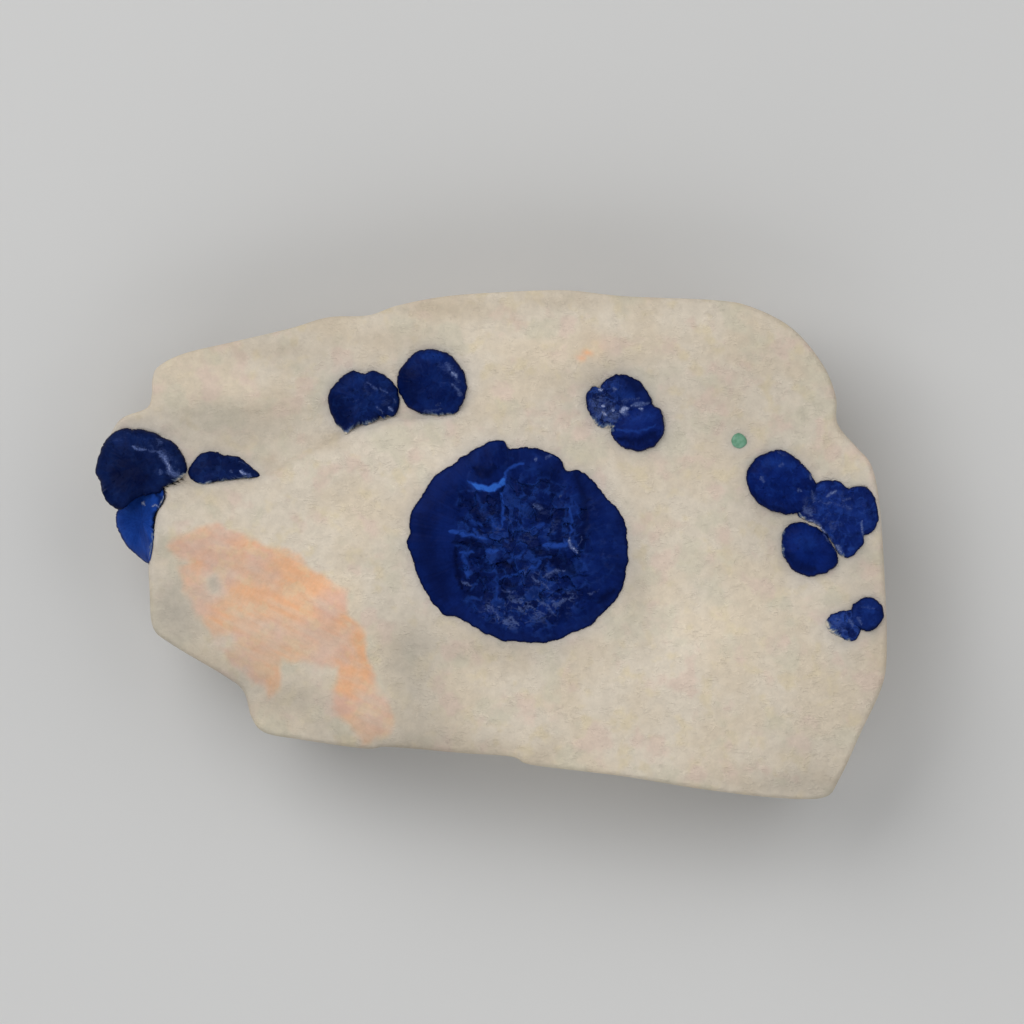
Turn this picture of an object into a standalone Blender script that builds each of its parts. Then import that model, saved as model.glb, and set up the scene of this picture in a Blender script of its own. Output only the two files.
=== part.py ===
"""Azurite suns in a kaolin slab: flat radial discs of deep blue azurite, grown in a hand-sized slab of
cream claystone, with one bead of malachite.

The slab lies on its back with its show face up. +X runs along its length, +Y across it and +Z out of
the show face. The origin is under the middle of the specimen's box, on the surface that it rests on.
Everything is in metres. Outlines were read by eye off the photograph, which looks straight down on the
face, and place() turns such a pixel into a real place on the slab.
"""

import math

import bmesh
import bpy
from mathutils import Vector, noise

MM = 0.001

# Driving dimensions
SPECIMEN_LENGTH = 130.7 * MM
FACE_HEIGHT = 24.0 * MM
EDGE_ROUNDING = 2.4 * MM
POCKET_GAP = 0.3 * MM

# The specimen's box in the photograph, in pixels
PHOTO_LEFT, PHOTO_RIGHT = 95, 887
PHOTO_TOP, PHOTO_BOTTOM = 290, 799
PIXEL = SPECIMEN_LENGTH / (PHOTO_RIGHT - PHOTO_LEFT)

# The slab seen from above, clockwise from its upper left corner
SLAB_OUTLINE = [
    (152, 378), (158, 366), (184, 353), (235, 341), (290, 328), (328, 317), (368, 315), (398, 305),
    (445, 296), (500, 292), (565, 290), (625, 296), (715, 300), (752, 307), (792, 328), (822, 363),
    (836, 396), (838, 424), (858, 448), (872, 466), (880, 505), (885, 580), (887, 645), (883, 684),
    (862, 731), (840, 779), (824, 798), (775, 798), (700, 789), (620, 776), (532, 765), (512, 757),
    (460, 753), (388, 747), (365, 749), (300, 740), (264, 733), (251, 718), (243, 692), (225, 677),
    (170, 644), (152, 627), (149, 590), (148, 565), (137, 540), (118, 500), (105, 472), (104, 452),
    (112, 430), (123, 417), (146, 408), (151, 396),
]
SLAB_SPOKES = 76
SLAB_MIDDLE = (517, 543)
# Rings of the show face: shares of the way from the middle to the edge, then insets from the edge
FACE_SHARES = [0.30, 0.42, 0.53, 0.63, 0.72, 0.80, 0.87, 0.92]
RIM_INSETS = [2.2 * MM, 0.8 * MM, 0.0]

# Relief of the show face: where each feature is (pixel), its half widths (pixels), how far it is
# turned (degrees, anticlockwise) and how far it rises (negative for a hollow)
FACE_FEATURES = [
    ((245, 424), (105, 24), 4, -2.2 * MM),
    ((345, 462), (120, 26), 22, 1.0 * MM),
    ((602, 398), (62, 52), -20, -1.5 * MM),
    ((700, 620), (170, 110), 0, 1.0 * MM),
    ((405, 675), (34, 80), 8, -1.4 * MM),
    ((500, 300), (150, 24), 3, -1.6 * MM),
    ((840, 800), (110, 80), 30, -2.6 * MM),
    ((170, 350), (110, 60), 15, -1.6 * MM),
    ((535, 748), (22, 16), 20, 0.9 * MM),
    ((497, 752), (18, 12), 0, -1.1 * MM),
    ((860, 470), (46, 60), 10, -1.2 * MM),
]
FACE_UNEVENNESS = 0.45 * MM
FACE_GRAIN = 11 * MM
# The bank under the upper suns, walked left to right: the face above this line is lower
BANK_LINE = [(150, 488), (258, 479), (345, 431), (395, 419), (450, 415), (520, 392)]
BANK_RISE = 1.5 * MM
BANK_WIDTH = 1.6 * MM
BANK_ENDS = (430, 515)
# The stained break: a plane that falls away to the lower left of this line, below a small lip
BREAK_LINE = [(120, 520), (190, 524), (262, 540), (318, 566), (362, 606), (392, 665), (404, 770)]
BREAK_SLOPE = 0.16
BREAK_LIP = 0.9 * MM
BREAK_LIP_WIDTH = 1.8 * MM

# The slab's side, from under the rounded edge down: share of the edge's height, inset, roughness
WALL_LEVELS = [
    (0.76, 0.1 * MM, 0.2 * MM),
    (0.60, 0.0 * MM, 0.3 * MM),
    (0.46, 0.3 * MM, 0.6 * MM),
    (0.42, 1.0 * MM, 0.8 * MM),
    (0.26, 1.3 * MM, 0.9 * MM),
    (0.12, 2.6 * MM, 0.9 * MM),
    (0.00, 4.4 * MM, 0.6 * MM),
]
WALL_GRAIN = 8.0 * MM
# Flat breaks round the slab's lower edge: the pixel at the top of each, its height there, the way it
# faces (degrees from +X, anticlockwise), its undercut (degrees from upright) and its half width
SIDE_BREAKS = [
    ((862, 731), 13 * MM, -26, 38, 13 * MM),
    ((887, 610), 9 * MM, -2, 46, 15 * MM),
    ((838, 410), 12 * MM, 8, 34, 9 * MM),
    ((806, 344), 15 * MM, 42, 40, 14 * MM),
    ((640, 297), 10 * MM, 88, 50, 20 * MM),
    ((420, 301), 14 * MM, 104, 36, 13 * MM),
    ((240, 340), 11 * MM, 103, 44, 16 * MM),
    ((150, 390), 13 * MM, 176, 30, 7 * MM),
    ((149, 600), 15 * MM, 184, 36, 9 * MM),
    ((200, 662), 12 * MM, 239, 42, 11 * MM),
    ((247, 705), 14 * MM, 197, 30, 6 * MM),
    ((330, 745), 9 * MM, 263, 48, 14 * MM),
    ((570, 769), 15 * MM, 262, 33, 16 * MM),
    ((740, 794), 8 * MM, 264, 52, 18 * MM),
]
BREAK_END_CURL = 5 * MM

# A sun's rings: shares of the way out from its middle, over its dome and then under it
DOME_RINGS = [0.40, 0.74, 0.94, 1.0]
CENTRAL_DOME_RINGS = [0.22, 0.44, 0.64, 0.80, 0.93, 1.0]
ROOT_RINGS = [0.94, 0.60]
SUN_SPOKES = 24
SMALL_SUN_SPOKES = 20
CENTRAL_SPOKES = 56
BEAD_SPOKES = 12
# Relief of a sun: the ribs of its radial crystals, its lumps, and the plates of a broken skin
CRYSTAL_RIB = 0.08 * MM
LUMP_HEIGHT = 0.3 * MM
LUMP_GRAIN = 3.0 * MM
PLATE_STEP = 0.35 * MM
PLATE_SIZE = 2.6 * MM
# How far a pocket's straight wall goes up, past the face of the slab
POCKET_SHAFT = 8.0 * MM

# The suns seen from above, clockwise from the top
CENTRAL_SUN = [
    (503, 441), (511, 450), (530, 448), (550, 453), (561, 460), (566, 469), (580, 471), (592, 480),
    (604, 495), (619, 511), (626, 530), (627, 558), (622, 588), (608, 607), (592, 622), (572, 632),
    (552, 640), (525, 641), (497, 636), (470, 622), (456, 617), (444, 613), (433, 598), (419, 577),
    (412, 556), (407, 545), (411, 530), (411, 515), (425, 493), (433, 479), (458, 461), (484, 445),
]
# The smooth skin is left whole on the left of the central sun, and flaked away right of this line
CENTRAL_SCARP = [(478, 446), (462, 470), (456, 500), (455, 535), (458, 590), (476, 634)]
SCARP_DROP = 0.35 * MM
SCARP_WIDTH = 1.2 * MM
UPPER_LEFT_SUN = [
    (354, 371), (364, 374), (374, 372), (386, 377), (394, 388), (396, 402), (394, 413), (376, 420),
    (355, 425), (346, 432), (338, 422), (331, 411), (330, 393), (341, 378),
]
UPPER_MIDDLE_SUN = [
    (432, 350), (447, 354), (458, 364), (465, 378), (463, 400), (451, 414), (420, 413), (405, 401),
    (399, 385), (402, 368), (415, 353),
]
EDGE_DOME = [
    (128, 429), (149, 431), (168, 443), (180, 458), (184, 470), (178, 479), (164, 484), (156, 497),
    (134, 503), (116, 508), (103, 496), (96, 480), (95, 465), (104, 444), (116, 432),
]
EDGE_SHELL = [
    (140, 488), (158, 492), (162, 503), (156, 516), (153, 537), (149, 561), (138, 557), (126, 546),
    (118, 530), (116, 514), (124, 498),
]
LENS_SUN = [
    (210, 454), (222, 455), (238, 458), (250, 465), (258, 476), (236, 478), (206, 482), (191, 479),
    (189, 466), (198, 457),
]
UPPER_RIGHT_TOP = [
    (621, 374), (637, 380), (648, 392), (650, 402), (633, 413), (600, 426), (591, 413), (585, 400),
    (592, 387), (608, 378),
]
UPPER_RIGHT_BOTTOM = [
    (640, 405), (653, 404), (663, 417), (664, 432), (652, 446), (636, 450), (619, 444), (612, 434),
    (617, 420), (627, 411),
]
RIGHT_ROUND = [
    (781, 450), (797, 460), (810, 472), (816, 490), (806, 508), (787, 514), (766, 509), (752, 493),
    (748, 479), (756, 462),
]
RIGHT_MASS = [
    (832, 481), (846, 487), (867, 489), (876, 508), (876, 529), (864, 539), (860, 547), (847, 556),
    (839, 546), (829, 530), (812, 518), (803, 508), (806, 493), (818, 483),
]
RIGHT_LOWER = [
    (800, 522), (811, 526), (823, 539), (834, 554), (834, 564), (820, 572), (806, 574), (791, 566),
    (782, 551), (783, 535), (791, 525),
]
SMALL_ROUND = [
    (869, 598), (879, 605), (882, 615), (876, 628), (865, 632), (854, 624), (852, 608), (860, 600),
]
SMALL_RAGGED = [
    (843, 612), (856, 611), (861, 623), (857, 636), (848, 640), (836, 634), (826, 622), (833, 615),
]
MALACHITE_SPOT = [(739, 434), (745, 438), (746, 444), (740, 448), (734, 446), (732, 441), (734, 436)]

# Colours, as linear red, green and blue
KAOLIN = (0.61, 0.53, 0.425)
AZURITE = (0.004, 0.013, 0.090)
AZURITE_DARK = (0.003, 0.009, 0.055)
MALACHITE = (0.15, 0.33, 0.215)


def place(pixel):
    """The place on the slab, seen from above, of a pixel of the photograph."""
    middle = ((PHOTO_LEFT + PHOTO_RIGHT) / 2, (PHOTO_TOP + PHOTO_BOTTOM) / 2)
    return Vector(((pixel[0] - middle[0]) * PIXEL, (middle[1] - pixel[1]) * PIXEL))


def facing(degrees):
    angle = math.radians(degrees)
    return Vector((math.cos(angle), math.sin(angle)))


def smooth_step(value):
    value = min(1.0, max(0.0, value))
    return value * value * (3 - 2 * value)


def closed_curve(pixels, count):
    """Count points, evenly spaced, on a smooth closed curve through the pixels, anticlockwise."""
    knots = [place(p) for p in reversed(pixels)]
    steps = 10
    fine = []
    for i in range(len(knots)):
        a, b, c, d = (knots[(i + k) % len(knots)] for k in (-1, 0, 1, 2))
        for t in (step / steps for step in range(steps)):
            bend = (2 * a - 5 * b + 4 * c - d) * t**2 + (3 * b - a - 3 * c + d) * t**3
            fine.append(0.5 * (2 * b + (c - a) * t + bend))
    fine.append(fine[0])
    travelled = [0.0]
    for start, end in zip(fine, fine[1:]):
        travelled.append(travelled[-1] + (end - start).length)
    points, i = [], 0
    for k in range(count):
        target = travelled[-1] * k / count
        while travelled[i + 1] < target:
            i += 1
        share = (target - travelled[i]) / (travelled[i + 1] - travelled[i])
        points.append(fine[i].lerp(fine[i + 1], share))
    return points


def side_of(line, spot):
    """How far a spot is from a line of pixels: above nought on its left, as it is walked."""
    nearest, answer = math.inf, 0.0
    for start, end in zip(line, line[1:]):
        a, b = place(start), place(end)
        along = min(1.0, max(0.0, (spot - a).dot(b - a) / (b - a).length_squared))
        apart = (spot - a.lerp(b, along)).length
        if apart < nearest:
            nearest = apart
            answer = math.copysign(apart, (b - a).cross(spot - a))
    return answer


def face_height(spot):
    """Height of the show face at a spot, before its edge is rounded off."""
    height = FACE_HEIGHT
    for pixel, half_widths, turn, rise in FACE_FEATURES:
        away = spot - place(pixel)
        along = away.dot(facing(turn)) / (half_widths[0] * PIXEL)
        across = away.dot(facing(turn + 90)) / (half_widths[1] * PIXEL)
        height += rise * math.exp(-along * along - across * across)
    bank_start, bank_end = (place((x, 0)).x for x in BANK_ENDS)
    fading = 1 - smooth_step((spot.x - bank_start) / (bank_end - bank_start))
    height -= BANK_RISE * fading * smooth_step(side_of(BANK_LINE, spot) / BANK_WIDTH + 0.5)
    inside_break = -side_of(BREAK_LINE, spot)
    if inside_break > 0:
        height -= BREAK_LIP * smooth_step(inside_break / BREAK_LIP_WIDTH) + BREAK_SLOPE * inside_break
    return height + FACE_UNEVENNESS * noise.noise(Vector((*spot, 0)) / FACE_GRAIN)


def edge_drop(inset):
    """How far the rounded edge lies below the face, at an inset from the outline."""
    left = max(0.0, EDGE_ROUNDING - inset)
    return EDGE_ROUNDING - math.sqrt(EDGE_ROUNDING**2 - left**2)


def broken_back(spot, height):
    """The spot of the slab's side, pulled in to the flat breaks that undercut its lower edge."""
    for pixel, top, direction, undercut, half_width in SIDE_BREAKS:
        if height >= top:
            continue
        outward = facing(direction)
        away = spot - place(pixel)
        curl = BREAK_END_CURL * (away.dot(facing(direction + 90)) / half_width) ** 4
        allowed = (height - top) * math.tan(math.radians(undercut)) + curl
        spot = spot - outward * max(0.0, away.dot(outward) - allowed)
    return spot


def slab_rings():
    """The slab as rings of points, from the middle of the show face out, down the side and under."""
    middle = place(SLAB_MIDDLE)
    outline = closed_curve(SLAB_OUTLINE, SLAB_SPOKES)
    rings = []
    for share in FACE_SHARES:
        spots = [middle.lerp(edge, share) for edge in outline]
        insets = [(edge - spot).length for edge, spot in zip(outline, spots)]
        rings.append([(*spot, face_height(spot) - edge_drop(inset)) for spot, inset in zip(spots, insets)])
    for inset in RIM_INSETS:
        spots = [edge + (middle - edge).normalized() * inset for edge in outline]
        rings.append([(*spot, face_height(spot) - edge_drop(inset)) for spot in spots])
    edge_heights = [point[2] for point in rings[-1]]
    for share, inset, roughness in WALL_LEVELS:
        ring = []
        for edge, edge_height in zip(outline, edge_heights):
            height = share * edge_height
            uneven = roughness * noise.noise(Vector((*edge, 2 * height)) / WALL_GRAIN)
            spot = edge + (middle - edge).normalized() * (inset + uneven)
            ring.append((*broken_back(spot, height), height))
        rings.append(ring)
    return rings


def lofted(name, rings, top, bottom=None, location=(0, 0, 0)):
    """An object whose skin joins the rings and closes at the top point, and at the bottom one or flat."""
    mesh = bmesh.new()
    loops = [[mesh.verts.new(point) for point in ring] for ring in rings]
    count = len(rings[0])
    pairs = [(k, (k + 1) % count) for k in range(count)]
    for upper, lower in zip(loops, loops[1:]):
        for k, after in pairs:
            mesh.faces.new((upper[k], lower[k], lower[after], upper[after]))
    tip = mesh.verts.new(top)
    for k, after in pairs:
        mesh.faces.new((loops[0][k], loops[0][after], tip))
    if bottom is None:
        mesh.faces.new(loops[-1][::-1])
    else:
        root = mesh.verts.new(bottom)
        for k, after in pairs:
            mesh.faces.new((loops[-1][after], loops[-1][k], root))
    bmesh.ops.recalc_face_normals(mesh, faces=mesh.faces)
    data = bpy.data.meshes.new(name)
    mesh.to_mesh(data)
    mesh.free()
    obj = bpy.data.objects.new(name, data)
    obj.location = location
    bpy.context.scene.collection.objects.link(obj)
    return obj


def dome(share):
    """The section of a sun: its height, as a share of the full one, at a share of the way out."""
    return math.sqrt(1 - share**3)


class Sun:
    """One radial disc of azurite: its outline from above, its rise from the slab and its root in it.

    drop sets it lower than the face, and lean is the way it falls (degrees) and its slope. scarp is
    the line of pixels to the right of which its smooth skin has flaked away.
    """

    def __init__(self, pixels, rise, depth, spokes=SUN_SPOKES, drop=0.0, lean=(0, 0.0), scarp=None):
        self.outline = closed_curve(pixels, spokes)
        self.spokes = range(spokes)
        self.middle = sum(self.outline, Vector((0, 0))) / spokes
        self.rise = rise
        self.depth = depth
        self.scarp = scarp
        direction, slope = lean
        falls = [slope * (spot - self.middle).dot(facing(direction)) for spot in self.outline]
        self.rim = [face_height(spot) - drop - fall for spot, fall in zip(self.outline, falls)]
        self.height = sum(self.rim) / spokes
        self.location = (*self.middle, self.height)

    def point(self, k, share, lift, gap=0.0):
        """The point on spoke k that is a share of the way out and stands lift above the sun's plane."""
        reach = self.outline[k] - self.middle
        spot = (reach + reach.normalized() * gap) * share
        return (*spot, (self.rim[k] - self.height) * share + lift)

    def relief(self, k, share):
        """What the crystals add to the smooth dome there: ribs, lumps, and plates inside the scarp."""
        spot = self.middle.lerp(self.outline[k], share)
        added = CRYSTAL_RIB * share * (1 if k % 2 else -1)
        if share == 1.0:
            return added
        added += LUMP_HEIGHT * noise.noise(Vector((*spot, 0)) / LUMP_GRAIN)
        if self.scarp:
            broken = smooth_step(side_of(self.scarp, spot) / SCARP_WIDTH + 0.5)
            plate = PLATE_STEP * noise.cell(Vector((*spot, 0)) / PLATE_SIZE)
            added -= (SCARP_DROP + plate) * broken
        return added

    def crystal(self, name, rings):
        """The sun itself: a dome of radial crystals over a shallow root."""
        skin = []
        for share in rings:
            lifts = [self.rise * dome(share) + self.relief(k, share) for k in self.spokes]
            skin.append([self.point(k, share, lift) for k, lift in enumerate(lifts)])
        for share in ROOT_RINGS:
            skin.append([self.point(k, share, -self.depth * dome(share)) for k in self.spokes])
        return lofted(name, skin, (0, 0, self.rise), (0, 0, -self.depth), self.location)

    def pocket(self, name):
        """What it takes out of the slab: the root grown by the gap, and a straight shaft above it."""
        depth = self.depth + POCKET_GAP
        levels = [(1.0, POCKET_SHAFT), (1.0, 0)] + [(share, -depth * dome(share)) for share in ROOT_RINGS]
        skin = [[self.point(k, share, lift, POCKET_GAP) for k in self.spokes] for share, lift in levels]
        return lofted(name, skin, (0, 0, POCKET_SHAFT), (0, 0, -depth), self.location)


def finish(obj, colour, roughness, sharp_from):
    """Gives a piece its own material, smooth shaded up to edges of the given angle in degrees."""
    material = bpy.data.materials.new(obj.name)
    material.use_nodes = True
    shader = material.node_tree.nodes["Principled BSDF"]
    shader.inputs["Base Color"].default_value = (*colour, 1)
    shader.inputs["Roughness"].default_value = roughness
    obj.data.materials.append(material)
    obj.data.shade_smooth()
    obj.data.set_sharp_from_angle(angle=math.radians(sharp_from))


def boolean(obj, other, operation):
    """Joins another shape to a piece, or cuts it out, and keeps that shape out of the model."""
    modifier = obj.modifiers.new(other.name, "BOOLEAN")
    modifier.operation = operation
    modifier.object = other
    other.hide_render = True
    other.display_type = "WIRE"


def set_in_slab(slab, name, suns, colour, rings=DOME_RINGS):
    """Makes one piece of one or more suns grown together, and cuts its pockets in the slab."""
    shapes = [sun.crystal(name if i == 0 else f"{name}_part{i}", rings) for i, sun in enumerate(suns)]
    for other in shapes[1:]:
        boolean(shapes[0], other, "UNION")
    finish(shapes[0], colour, roughness=0.4, sharp_from=25)
    for i, sun in enumerate(suns):
        boolean(slab, sun.pocket(f"{name}_pocket{i}"), "DIFFERENCE")


def build():
    for obj in list(bpy.data.objects):
        bpy.data.objects.remove(obj)
    slab = lofted("kaolin_slab", slab_rings(), top=(*place(SLAB_MIDDLE), FACE_HEIGHT))
    finish(slab, KAOLIN, roughness=0.9, sharp_from=40)
    central = Sun(CENTRAL_SUN, rise=2.6 * MM, depth=3.6 * MM, spokes=CENTRAL_SPOKES, scarp=CENTRAL_SCARP)
    set_in_slab(slab, "central_sun", [central], AZURITE, rings=CENTRAL_DOME_RINGS)
    upper_left = Sun(UPPER_LEFT_SUN, rise=1.9 * MM, depth=2.2 * MM)
    set_in_slab(slab, "upper_left_sun", [upper_left], AZURITE)
    upper_middle = Sun(UPPER_MIDDLE_SUN, rise=2.2 * MM, depth=2.2 * MM)
    set_in_slab(slab, "upper_middle_sun", [upper_middle], AZURITE)
    edge_dome = Sun(EDGE_DOME, rise=3.0 * MM, depth=4.2 * MM, drop=1.4 * MM, lean=(195, 0.2))
    shell = Sun(EDGE_SHELL, rise=2.0 * MM, depth=4.0 * MM, drop=4.6 * MM, lean=(200, 0.75))
    set_in_slab(slab, "edge_suns", [edge_dome, shell], AZURITE_DARK)
    lens = Sun(LENS_SUN, rise=1.3 * MM, depth=1.6 * MM, spokes=SMALL_SUN_SPOKES)
    set_in_slab(slab, "lens_sun", [lens], AZURITE)
    top_disc = Sun(UPPER_RIGHT_TOP, rise=1.4 * MM, depth=1.9 * MM)
    bottom_disc = Sun(UPPER_RIGHT_BOTTOM, rise=2.0 * MM, depth=2.0 * MM)
    set_in_slab(slab, "upper_right_suns", [top_disc, bottom_disc], AZURITE)
    round_disc = Sun(RIGHT_ROUND, rise=2.0 * MM, depth=2.2 * MM)
    mass = Sun(RIGHT_MASS, rise=1.5 * MM, depth=2.1 * MM)
    set_in_slab(slab, "right_suns", [round_disc, mass], AZURITE)
    lower = Sun(RIGHT_LOWER, rise=1.8 * MM, depth=2.1 * MM)
    set_in_slab(slab, "right_lower_sun", [lower], AZURITE)
    small_round = Sun(SMALL_ROUND, rise=1.2 * MM, depth=1.4 * MM, spokes=SMALL_SUN_SPOKES)
    small_ragged = Sun(SMALL_RAGGED, rise=0.7 * MM, depth=1.2 * MM, spokes=SMALL_SUN_SPOKES)
    set_in_slab(slab, "small_right_suns", [small_round, small_ragged], AZURITE)
    bead = Sun(MALACHITE_SPOT, rise=0.35 * MM, depth=0.9 * MM, spokes=BEAD_SPOKES)
    set_in_slab(slab, "malachite_bead", [bead], MALACHITE)


build()
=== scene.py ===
import math

import bpy
import numpy as np
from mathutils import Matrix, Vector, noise


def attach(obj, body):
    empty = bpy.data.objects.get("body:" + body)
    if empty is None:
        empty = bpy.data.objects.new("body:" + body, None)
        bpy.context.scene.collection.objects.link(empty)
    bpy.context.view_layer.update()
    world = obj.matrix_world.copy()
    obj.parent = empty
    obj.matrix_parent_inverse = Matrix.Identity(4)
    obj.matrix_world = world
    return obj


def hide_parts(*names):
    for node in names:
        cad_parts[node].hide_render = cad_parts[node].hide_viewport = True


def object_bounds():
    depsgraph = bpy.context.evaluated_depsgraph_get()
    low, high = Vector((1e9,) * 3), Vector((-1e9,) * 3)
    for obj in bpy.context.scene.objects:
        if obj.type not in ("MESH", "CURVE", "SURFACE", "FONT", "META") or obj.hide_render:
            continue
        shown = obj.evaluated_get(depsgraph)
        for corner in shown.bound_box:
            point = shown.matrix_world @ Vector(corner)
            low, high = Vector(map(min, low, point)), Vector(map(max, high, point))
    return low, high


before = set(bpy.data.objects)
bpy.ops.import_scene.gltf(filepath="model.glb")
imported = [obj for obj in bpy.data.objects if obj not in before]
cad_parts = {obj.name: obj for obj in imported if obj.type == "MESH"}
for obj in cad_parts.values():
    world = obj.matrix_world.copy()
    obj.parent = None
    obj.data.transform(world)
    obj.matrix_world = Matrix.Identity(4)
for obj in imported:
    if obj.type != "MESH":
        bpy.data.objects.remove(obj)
cad_box = [list(corner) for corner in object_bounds()]


# Camera
# It looks straight down on the show face from well above, with a long lens, as the photograph does.
# place() turns a pixel of the photograph into the place on the slab under it.

MM = 0.001
SPECIMEN_LENGTH = 130.7 * MM
PHOTO_LEFT, PHOTO_RIGHT = 95, 887
PHOTO_TOP, PHOTO_BOTTOM = 290, 799
PHOTO_SIDE = 1024
PIXEL = SPECIMEN_LENGTH / (PHOTO_RIGHT - PHOTO_LEFT)
FACE_HEIGHT = 24.0 * MM
CAMERA_RISE, SENSOR_WIDTH = 2.2, 36


def place(pixels):
    """Places on the slab, seen from above, of one pixel of the photograph or of a list of them."""
    pixels = np.asarray(pixels, float)
    middle = ((PHOTO_LEFT + PHOTO_RIGHT) / 2, (PHOTO_TOP + PHOTO_BOTTOM) / 2)
    return np.stack([pixels[..., 0] - middle[0], middle[1] - pixels[..., 1]], axis=-1) * PIXEL


camera = bpy.data.objects.new("camera", bpy.data.cameras.new("camera"))
camera.location = (*place((PHOTO_SIDE / 2, PHOTO_SIDE / 2)), FACE_HEIGHT + CAMERA_RISE)
camera.data.sensor_width = SENSOR_WIDTH
camera.data.lens = SENSOR_WIDTH * CAMERA_RISE / (PHOTO_SIDE * PIXEL)
bpy.context.scene.collection.objects.link(camera)
bpy.context.scene.camera = camera


# Kaolin slab
# A hand-sized block of cream claystone, broken all round and rounded at the edge of its show face. The
# face is uneven: a trough under the top edge, a bank below the upper suns and a stained break at the
# lower left. It is a skin of rings, from the middle of the face out, down the side and under.

SLAB_OUTLINE = [
    (152, 378), (158, 366), (184, 353), (235, 341), (290, 328), (328, 317), (368, 315), (398, 305),
    (445, 296), (500, 292), (565, 290), (625, 296), (715, 300), (752, 307), (792, 328), (822, 363),
    (836, 396), (838, 424), (858, 448), (872, 466), (880, 505), (885, 580), (887, 645), (883, 684),
    (862, 731), (840, 779), (824, 798), (775, 798), (700, 789), (620, 776), (532, 765), (512, 757),
    (460, 753), (388, 747), (365, 749), (300, 740), (264, 733), (251, 718), (243, 692), (225, 677),
    (170, 644), (152, 627), (149, 590), (148, 565), (137, 540), (118, 500), (105, 472), (104, 452),
    (112, 430), (123, 417), (146, 408), (151, 396),
]
# Above the ledge that carries the edge shell, the slab's side stands further in, behind the shell
LEDGE_FROM, LEDGE_TO = SLAB_OUTLINE.index((148, 565)), SLAB_OUTLINE.index((104, 452))
BEHIND_SHELL = [
    (148, 565), (150, 550), (153, 533), (156, 517), (159, 505), (153, 492), (142, 482), (128, 474),
    (113, 464),
]
FACE_OUTLINE = SLAB_OUTLINE[:LEDGE_FROM] + BEHIND_SHELL + SLAB_OUTLINE[LEDGE_TO:]
LEDGE_HEIGHT, LEDGE_ROUNDING = 13.0 * MM, 2.0 * MM
SLAB_MIDDLE = (517, 543)
SLAB_SPOKES, CURVE_STEPS = 520, 10
FINE_OUTLINE, COARSE_OUTLINE = 3000, 1500
MIDDLE_SHARES = [0.02, 0.06, 0.11, 0.16, 0.20, 0.23]
FACE_RINGS, FIRST_FACE_SHARE = 104, 0.25
RIM_INSETS = [2.2, 1.5, 1.0, 0.75, 0.52, 0.34, 0.2, 0.1, 0.03, 0.0]
WALL_RINGS = 42
UNDER_SHARES = np.linspace(0.975, 0.03, 20)
EDGE_ROUNDING = 1.0 * MM
# Where each swell or hollow is (pixel), its half widths (pixels), its turn (degrees) and its rise
FACE_FEATURES = [
    ((245, 424), (105, 24), 4, -2.2 * MM),
    ((345, 462), (120, 26), 22, 1.0 * MM),
    ((602, 398), (62, 52), -20, -1.5 * MM),
    ((700, 620), (170, 110), 0, 1.0 * MM),
    ((405, 675), (34, 80), 8, -1.4 * MM),
    ((500, 300), (150, 24), 3, -1.6 * MM),
    ((840, 800), (110, 80), 30, -2.6 * MM),
    ((170, 350), (110, 60), 15, -1.6 * MM),
    ((535, 744), (24, 18), 20, 1.2 * MM),
    ((497, 752), (18, 12), 0, -1.1 * MM),
    ((860, 470), (46, 60), 10, -1.2 * MM),
]
FACE_UNEVENNESS, FACE_GRAIN = 0.45 * MM, 11 * MM
BANK_LINE = [(150, 488), (258, 479), (345, 431), (395, 419), (450, 415), (520, 392)]
BANK_RISE, BANK_WIDTH, BANK_ENDS = 1.5 * MM, 1.6 * MM, (430, 515)
BREAK_LINE = [(120, 520), (190, 524), (262, 540), (318, 566), (362, 606), (392, 665), (404, 770)]
BREAK_SLOPE, BREAK_LIP, BREAK_LIP_WIDTH = 0.16, 0.9 * MM, 7.0 * MM
# Fine relief: how high and how wide its swells are
FACE_RELIEF = [(0.15 * MM, 4.2 * MM), (0.07 * MM, 1.7 * MM), (0.035 * MM, 0.8 * MM)]
WALL_RELIEF = [(0.50 * MM, 5.5 * MM), (0.26 * MM, 2.1 * MM), (0.10 * MM, 0.9 * MM)]
BED_DEPTH, BED_HEIGHT, BED_STRETCH = 0.30 * MM, 1.3 * MM, 0.12
# The side from the rounded edge down: shares of the edge's height, insets and roughness
WALL_SHARES = [0.0, 0.12, 0.26, 0.42, 0.46, 0.60, 0.76, 1.0]
WALL_INSETS = [4.4, 2.6, 1.3, 1.0, 0.3, 0.0, 0.1, 0.0]
WALL_ROUGHNESS = [0.6, 0.9, 0.9, 0.8, 0.6, 0.3, 0.2, 0.0]
WALL_GRAIN, WALL_EASING = 8.0 * MM, 4
# Flat breaks: pixel at the top, height there, facing and undercut (degrees), half width
SIDE_BREAKS = [
    ((862, 731), 13 * MM, -26, 38, 13 * MM),
    ((887, 610), 9 * MM, -2, 46, 15 * MM),
    ((838, 410), 12 * MM, 8, 34, 9 * MM),
    ((806, 344), 15 * MM, 42, 40, 14 * MM),
    ((640, 297), 10 * MM, 88, 50, 20 * MM),
    ((420, 301), 14 * MM, 104, 36, 13 * MM),
    ((240, 340), 11 * MM, 103, 44, 16 * MM),
    ((150, 390), 13 * MM, 176, 30, 7 * MM),
    ((149, 600), 15 * MM, 184, 36, 9 * MM),
    ((200, 662), 12 * MM, 239, 42, 11 * MM),
    ((247, 705), 14 * MM, 197, 30, 6 * MM),
    ((330, 745), 9 * MM, 263, 48, 14 * MM),
    ((570, 769), 15 * MM, 262, 33, 16 * MM),
    ((740, 794), 8 * MM, 264, 52, 18 * MM),
]
BREAK_END_CURL = 5 * MM
UNDER_RELIEF, UNDER_GRAIN, UNDER_EASING = 0.9 * MM, 9 * MM, 12
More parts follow.
